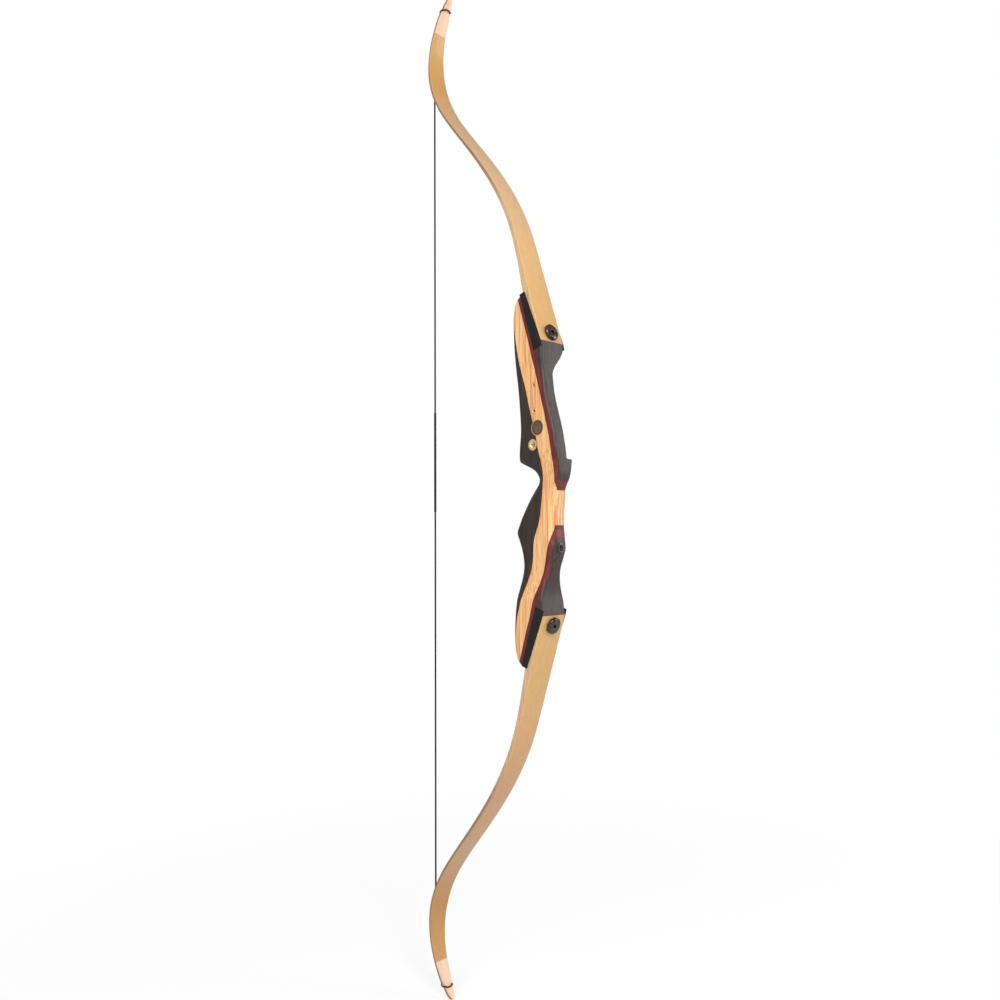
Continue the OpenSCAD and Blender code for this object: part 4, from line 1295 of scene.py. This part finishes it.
def make_end_loop(end, side):
    """The served end loop."""
    route = resampled(lifted(loop_route(), side), LOOP_STEP)
    rings = tube_rings(route, wound_surface(LOOP_R, *LOOP_WIND), LOOP_SIDES)
    loop = skin(end + "_loop_serving", rings)
    finish_piece(loop, "serving_thread", None, end + "_end_loop", look="loop_thread", angle=THREAD_ANGLE)
    blend_string(loop)


def make_serving(end, low, high):
    """Half of the centre serving, hollow round the strands."""
    route = [(STRING_X, 0, z) for z in spread(low, high, SERVING_STEP)]
    rings = tube_rings(route, wound_surface(SERVING_R, *SERVING_WIND), SERVING_SIDES)
    inside = tube_rings([route[-1], route[0]], lambda run, angle: SERVING_BORE, SERVING_SIDES)
    serving = skin(end + "_serving_wraps", rings + inside, hollow=True)
    finish_piece(serving, "serving_thread", end + "_string", "centre_serving_" + end, angle=THREAD_ANGLE)


def make_string():
    for (end, side), stiff_z in zip(ENDS, (SERVING_TOP, SERVING_LOW)):
        leg_end = make_string_half(end, side, stiff_z)
        make_end_loop(end, side)
    make_serving("upper", NOCKING_Z, SERVING_TOP)
    make_serving("lower", SERVING_LOW, NOCKING_Z)


make_riser()
make_limbs()
make_pocket()
make_fastenings()
make_sight_bushings()
make_plunger_bushing()
make_stabilizer_bushing()
make_inlay()
make_string()

# Floor, backdrop light and lamps
FLOOR_REACH = 9000
FLOOR_DROP = 0.5
FLOOR_GLOW = 0.66
FLOOR_PALE = 0.4
FLOOR_TONE = 0.8
FADE_FROM = 350
FADE_TO = 1300
WORLD_LIGHT = 0.36
# Lamps, as (name, place, aim, size, watts)
LAMPS = [
    ("key", (1900, -900, 1300), (0, 0, 0), (900, 1600), 25),
    ("side", (700, -2100, 1000), (0, 0, 0), (1200, 1600), 27),
    ("sheen", (1500, 1700, 500), (0, 0, 100), (1100, 1900), 14),
    ("back", (-1500, 1600, 1200), (0, 0, 0), (1200, 1200), 10),
]


def stage_floor():
    """A white floor that takes the bow's shadow and fades into the white backdrop."""
    low = cad_box[0][2] / MM - FLOOR_DROP
    corners = [(x * FLOOR_REACH, y * FLOOR_REACH, low) for x, y in ((-1, -1), (1, -1), (1, 1), (-1, 1))]
    floor = new_object("floor", corners, [(0, 1, 2, 3)])
    material, tree, shader = new_material("floor", 0.9, specular=0.1)
    shader.inputs["Base Color"].default_value = grey(FLOOR_TONE)
    rays = node(tree, "LightPath").outputs["Is Camera Ray"]
    white = node(tree, "Emission", Color=grey(1), Strength=1.0).outputs["Emission"]
    glow = node(tree, "Emission", Color=grey(1), Strength=FLOOR_GLOW).outputs["Emission"]
    pale = node(tree, "BsdfDiffuse", Color=grey(FLOOR_PALE)).outputs["BSDF"]
    lit = node(tree, "AddShader", _0=glow, _1=pale).outputs["Shader"]
    flat = node(tree, "VectorMath", {"operation": "MULTIPLY"}, _0=own_place(tree), _1=(1, 1, 0)).outputs[0]
    away = node(tree, "VectorMath", {"operation": "LENGTH"}, _0=flat).outputs["Value"]
    fade = mapped(tree, away, {"interpolation_type": "SMOOTHSTEP"}, From_Min=FADE_FROM * MM,
                  From_Max=FADE_TO * MM)
    faded = node(tree, "MixShader", _0=fade, _1=lit, _2=white).outputs["Shader"]
    seen = node(tree, "MixShader", _0=rays, _1=shader.outputs["BSDF"], _2=faded)
    tree.links.new(seen.outputs["Shader"], tree.nodes["Material Output"].inputs["Surface"])
    floor.data.materials.append(material)


def stage_world(light):
    """White where the camera looks, and a plain light on the bow."""
    world = bpy.data.worlds.new("studio")
    bpy.context.scene.world = world
    world.use_nodes = True
    tree = world.node_tree
    paths = node(tree, "LightPath").outputs
    seen = node(tree, "Math", {"operation": "MAXIMUM"}, _0=paths["Is Camera Ray"],
                _1=paths["Is Transmission Ray"]).outputs[0]
    strength = mapped(tree, seen, To_Min=light, To_Max=1.0)
    background = tree.nodes["Background"]
    tree.links.new(strength, background.inputs["Strength"])
    background.inputs["Color"].default_value = grey(1)


def lamp(name, at, aim, size, watts):
    data = bpy.data.lights.new(name, "AREA")
    data.shape = "RECTANGLE"
    data.size, data.size_y = (s * MM for s in size)
    data.energy = watts
    place, target = Vector(at) * MM, Vector(aim) * MM
    turn = (target - place).to_track_quat("-Z", "Y")
    added(name, data).matrix_world = Matrix.LocRotScale(place, turn, None)


stage_floor()
stage_world(WORLD_LIGHT)
for row in LAMPS:
    lamp(*row)
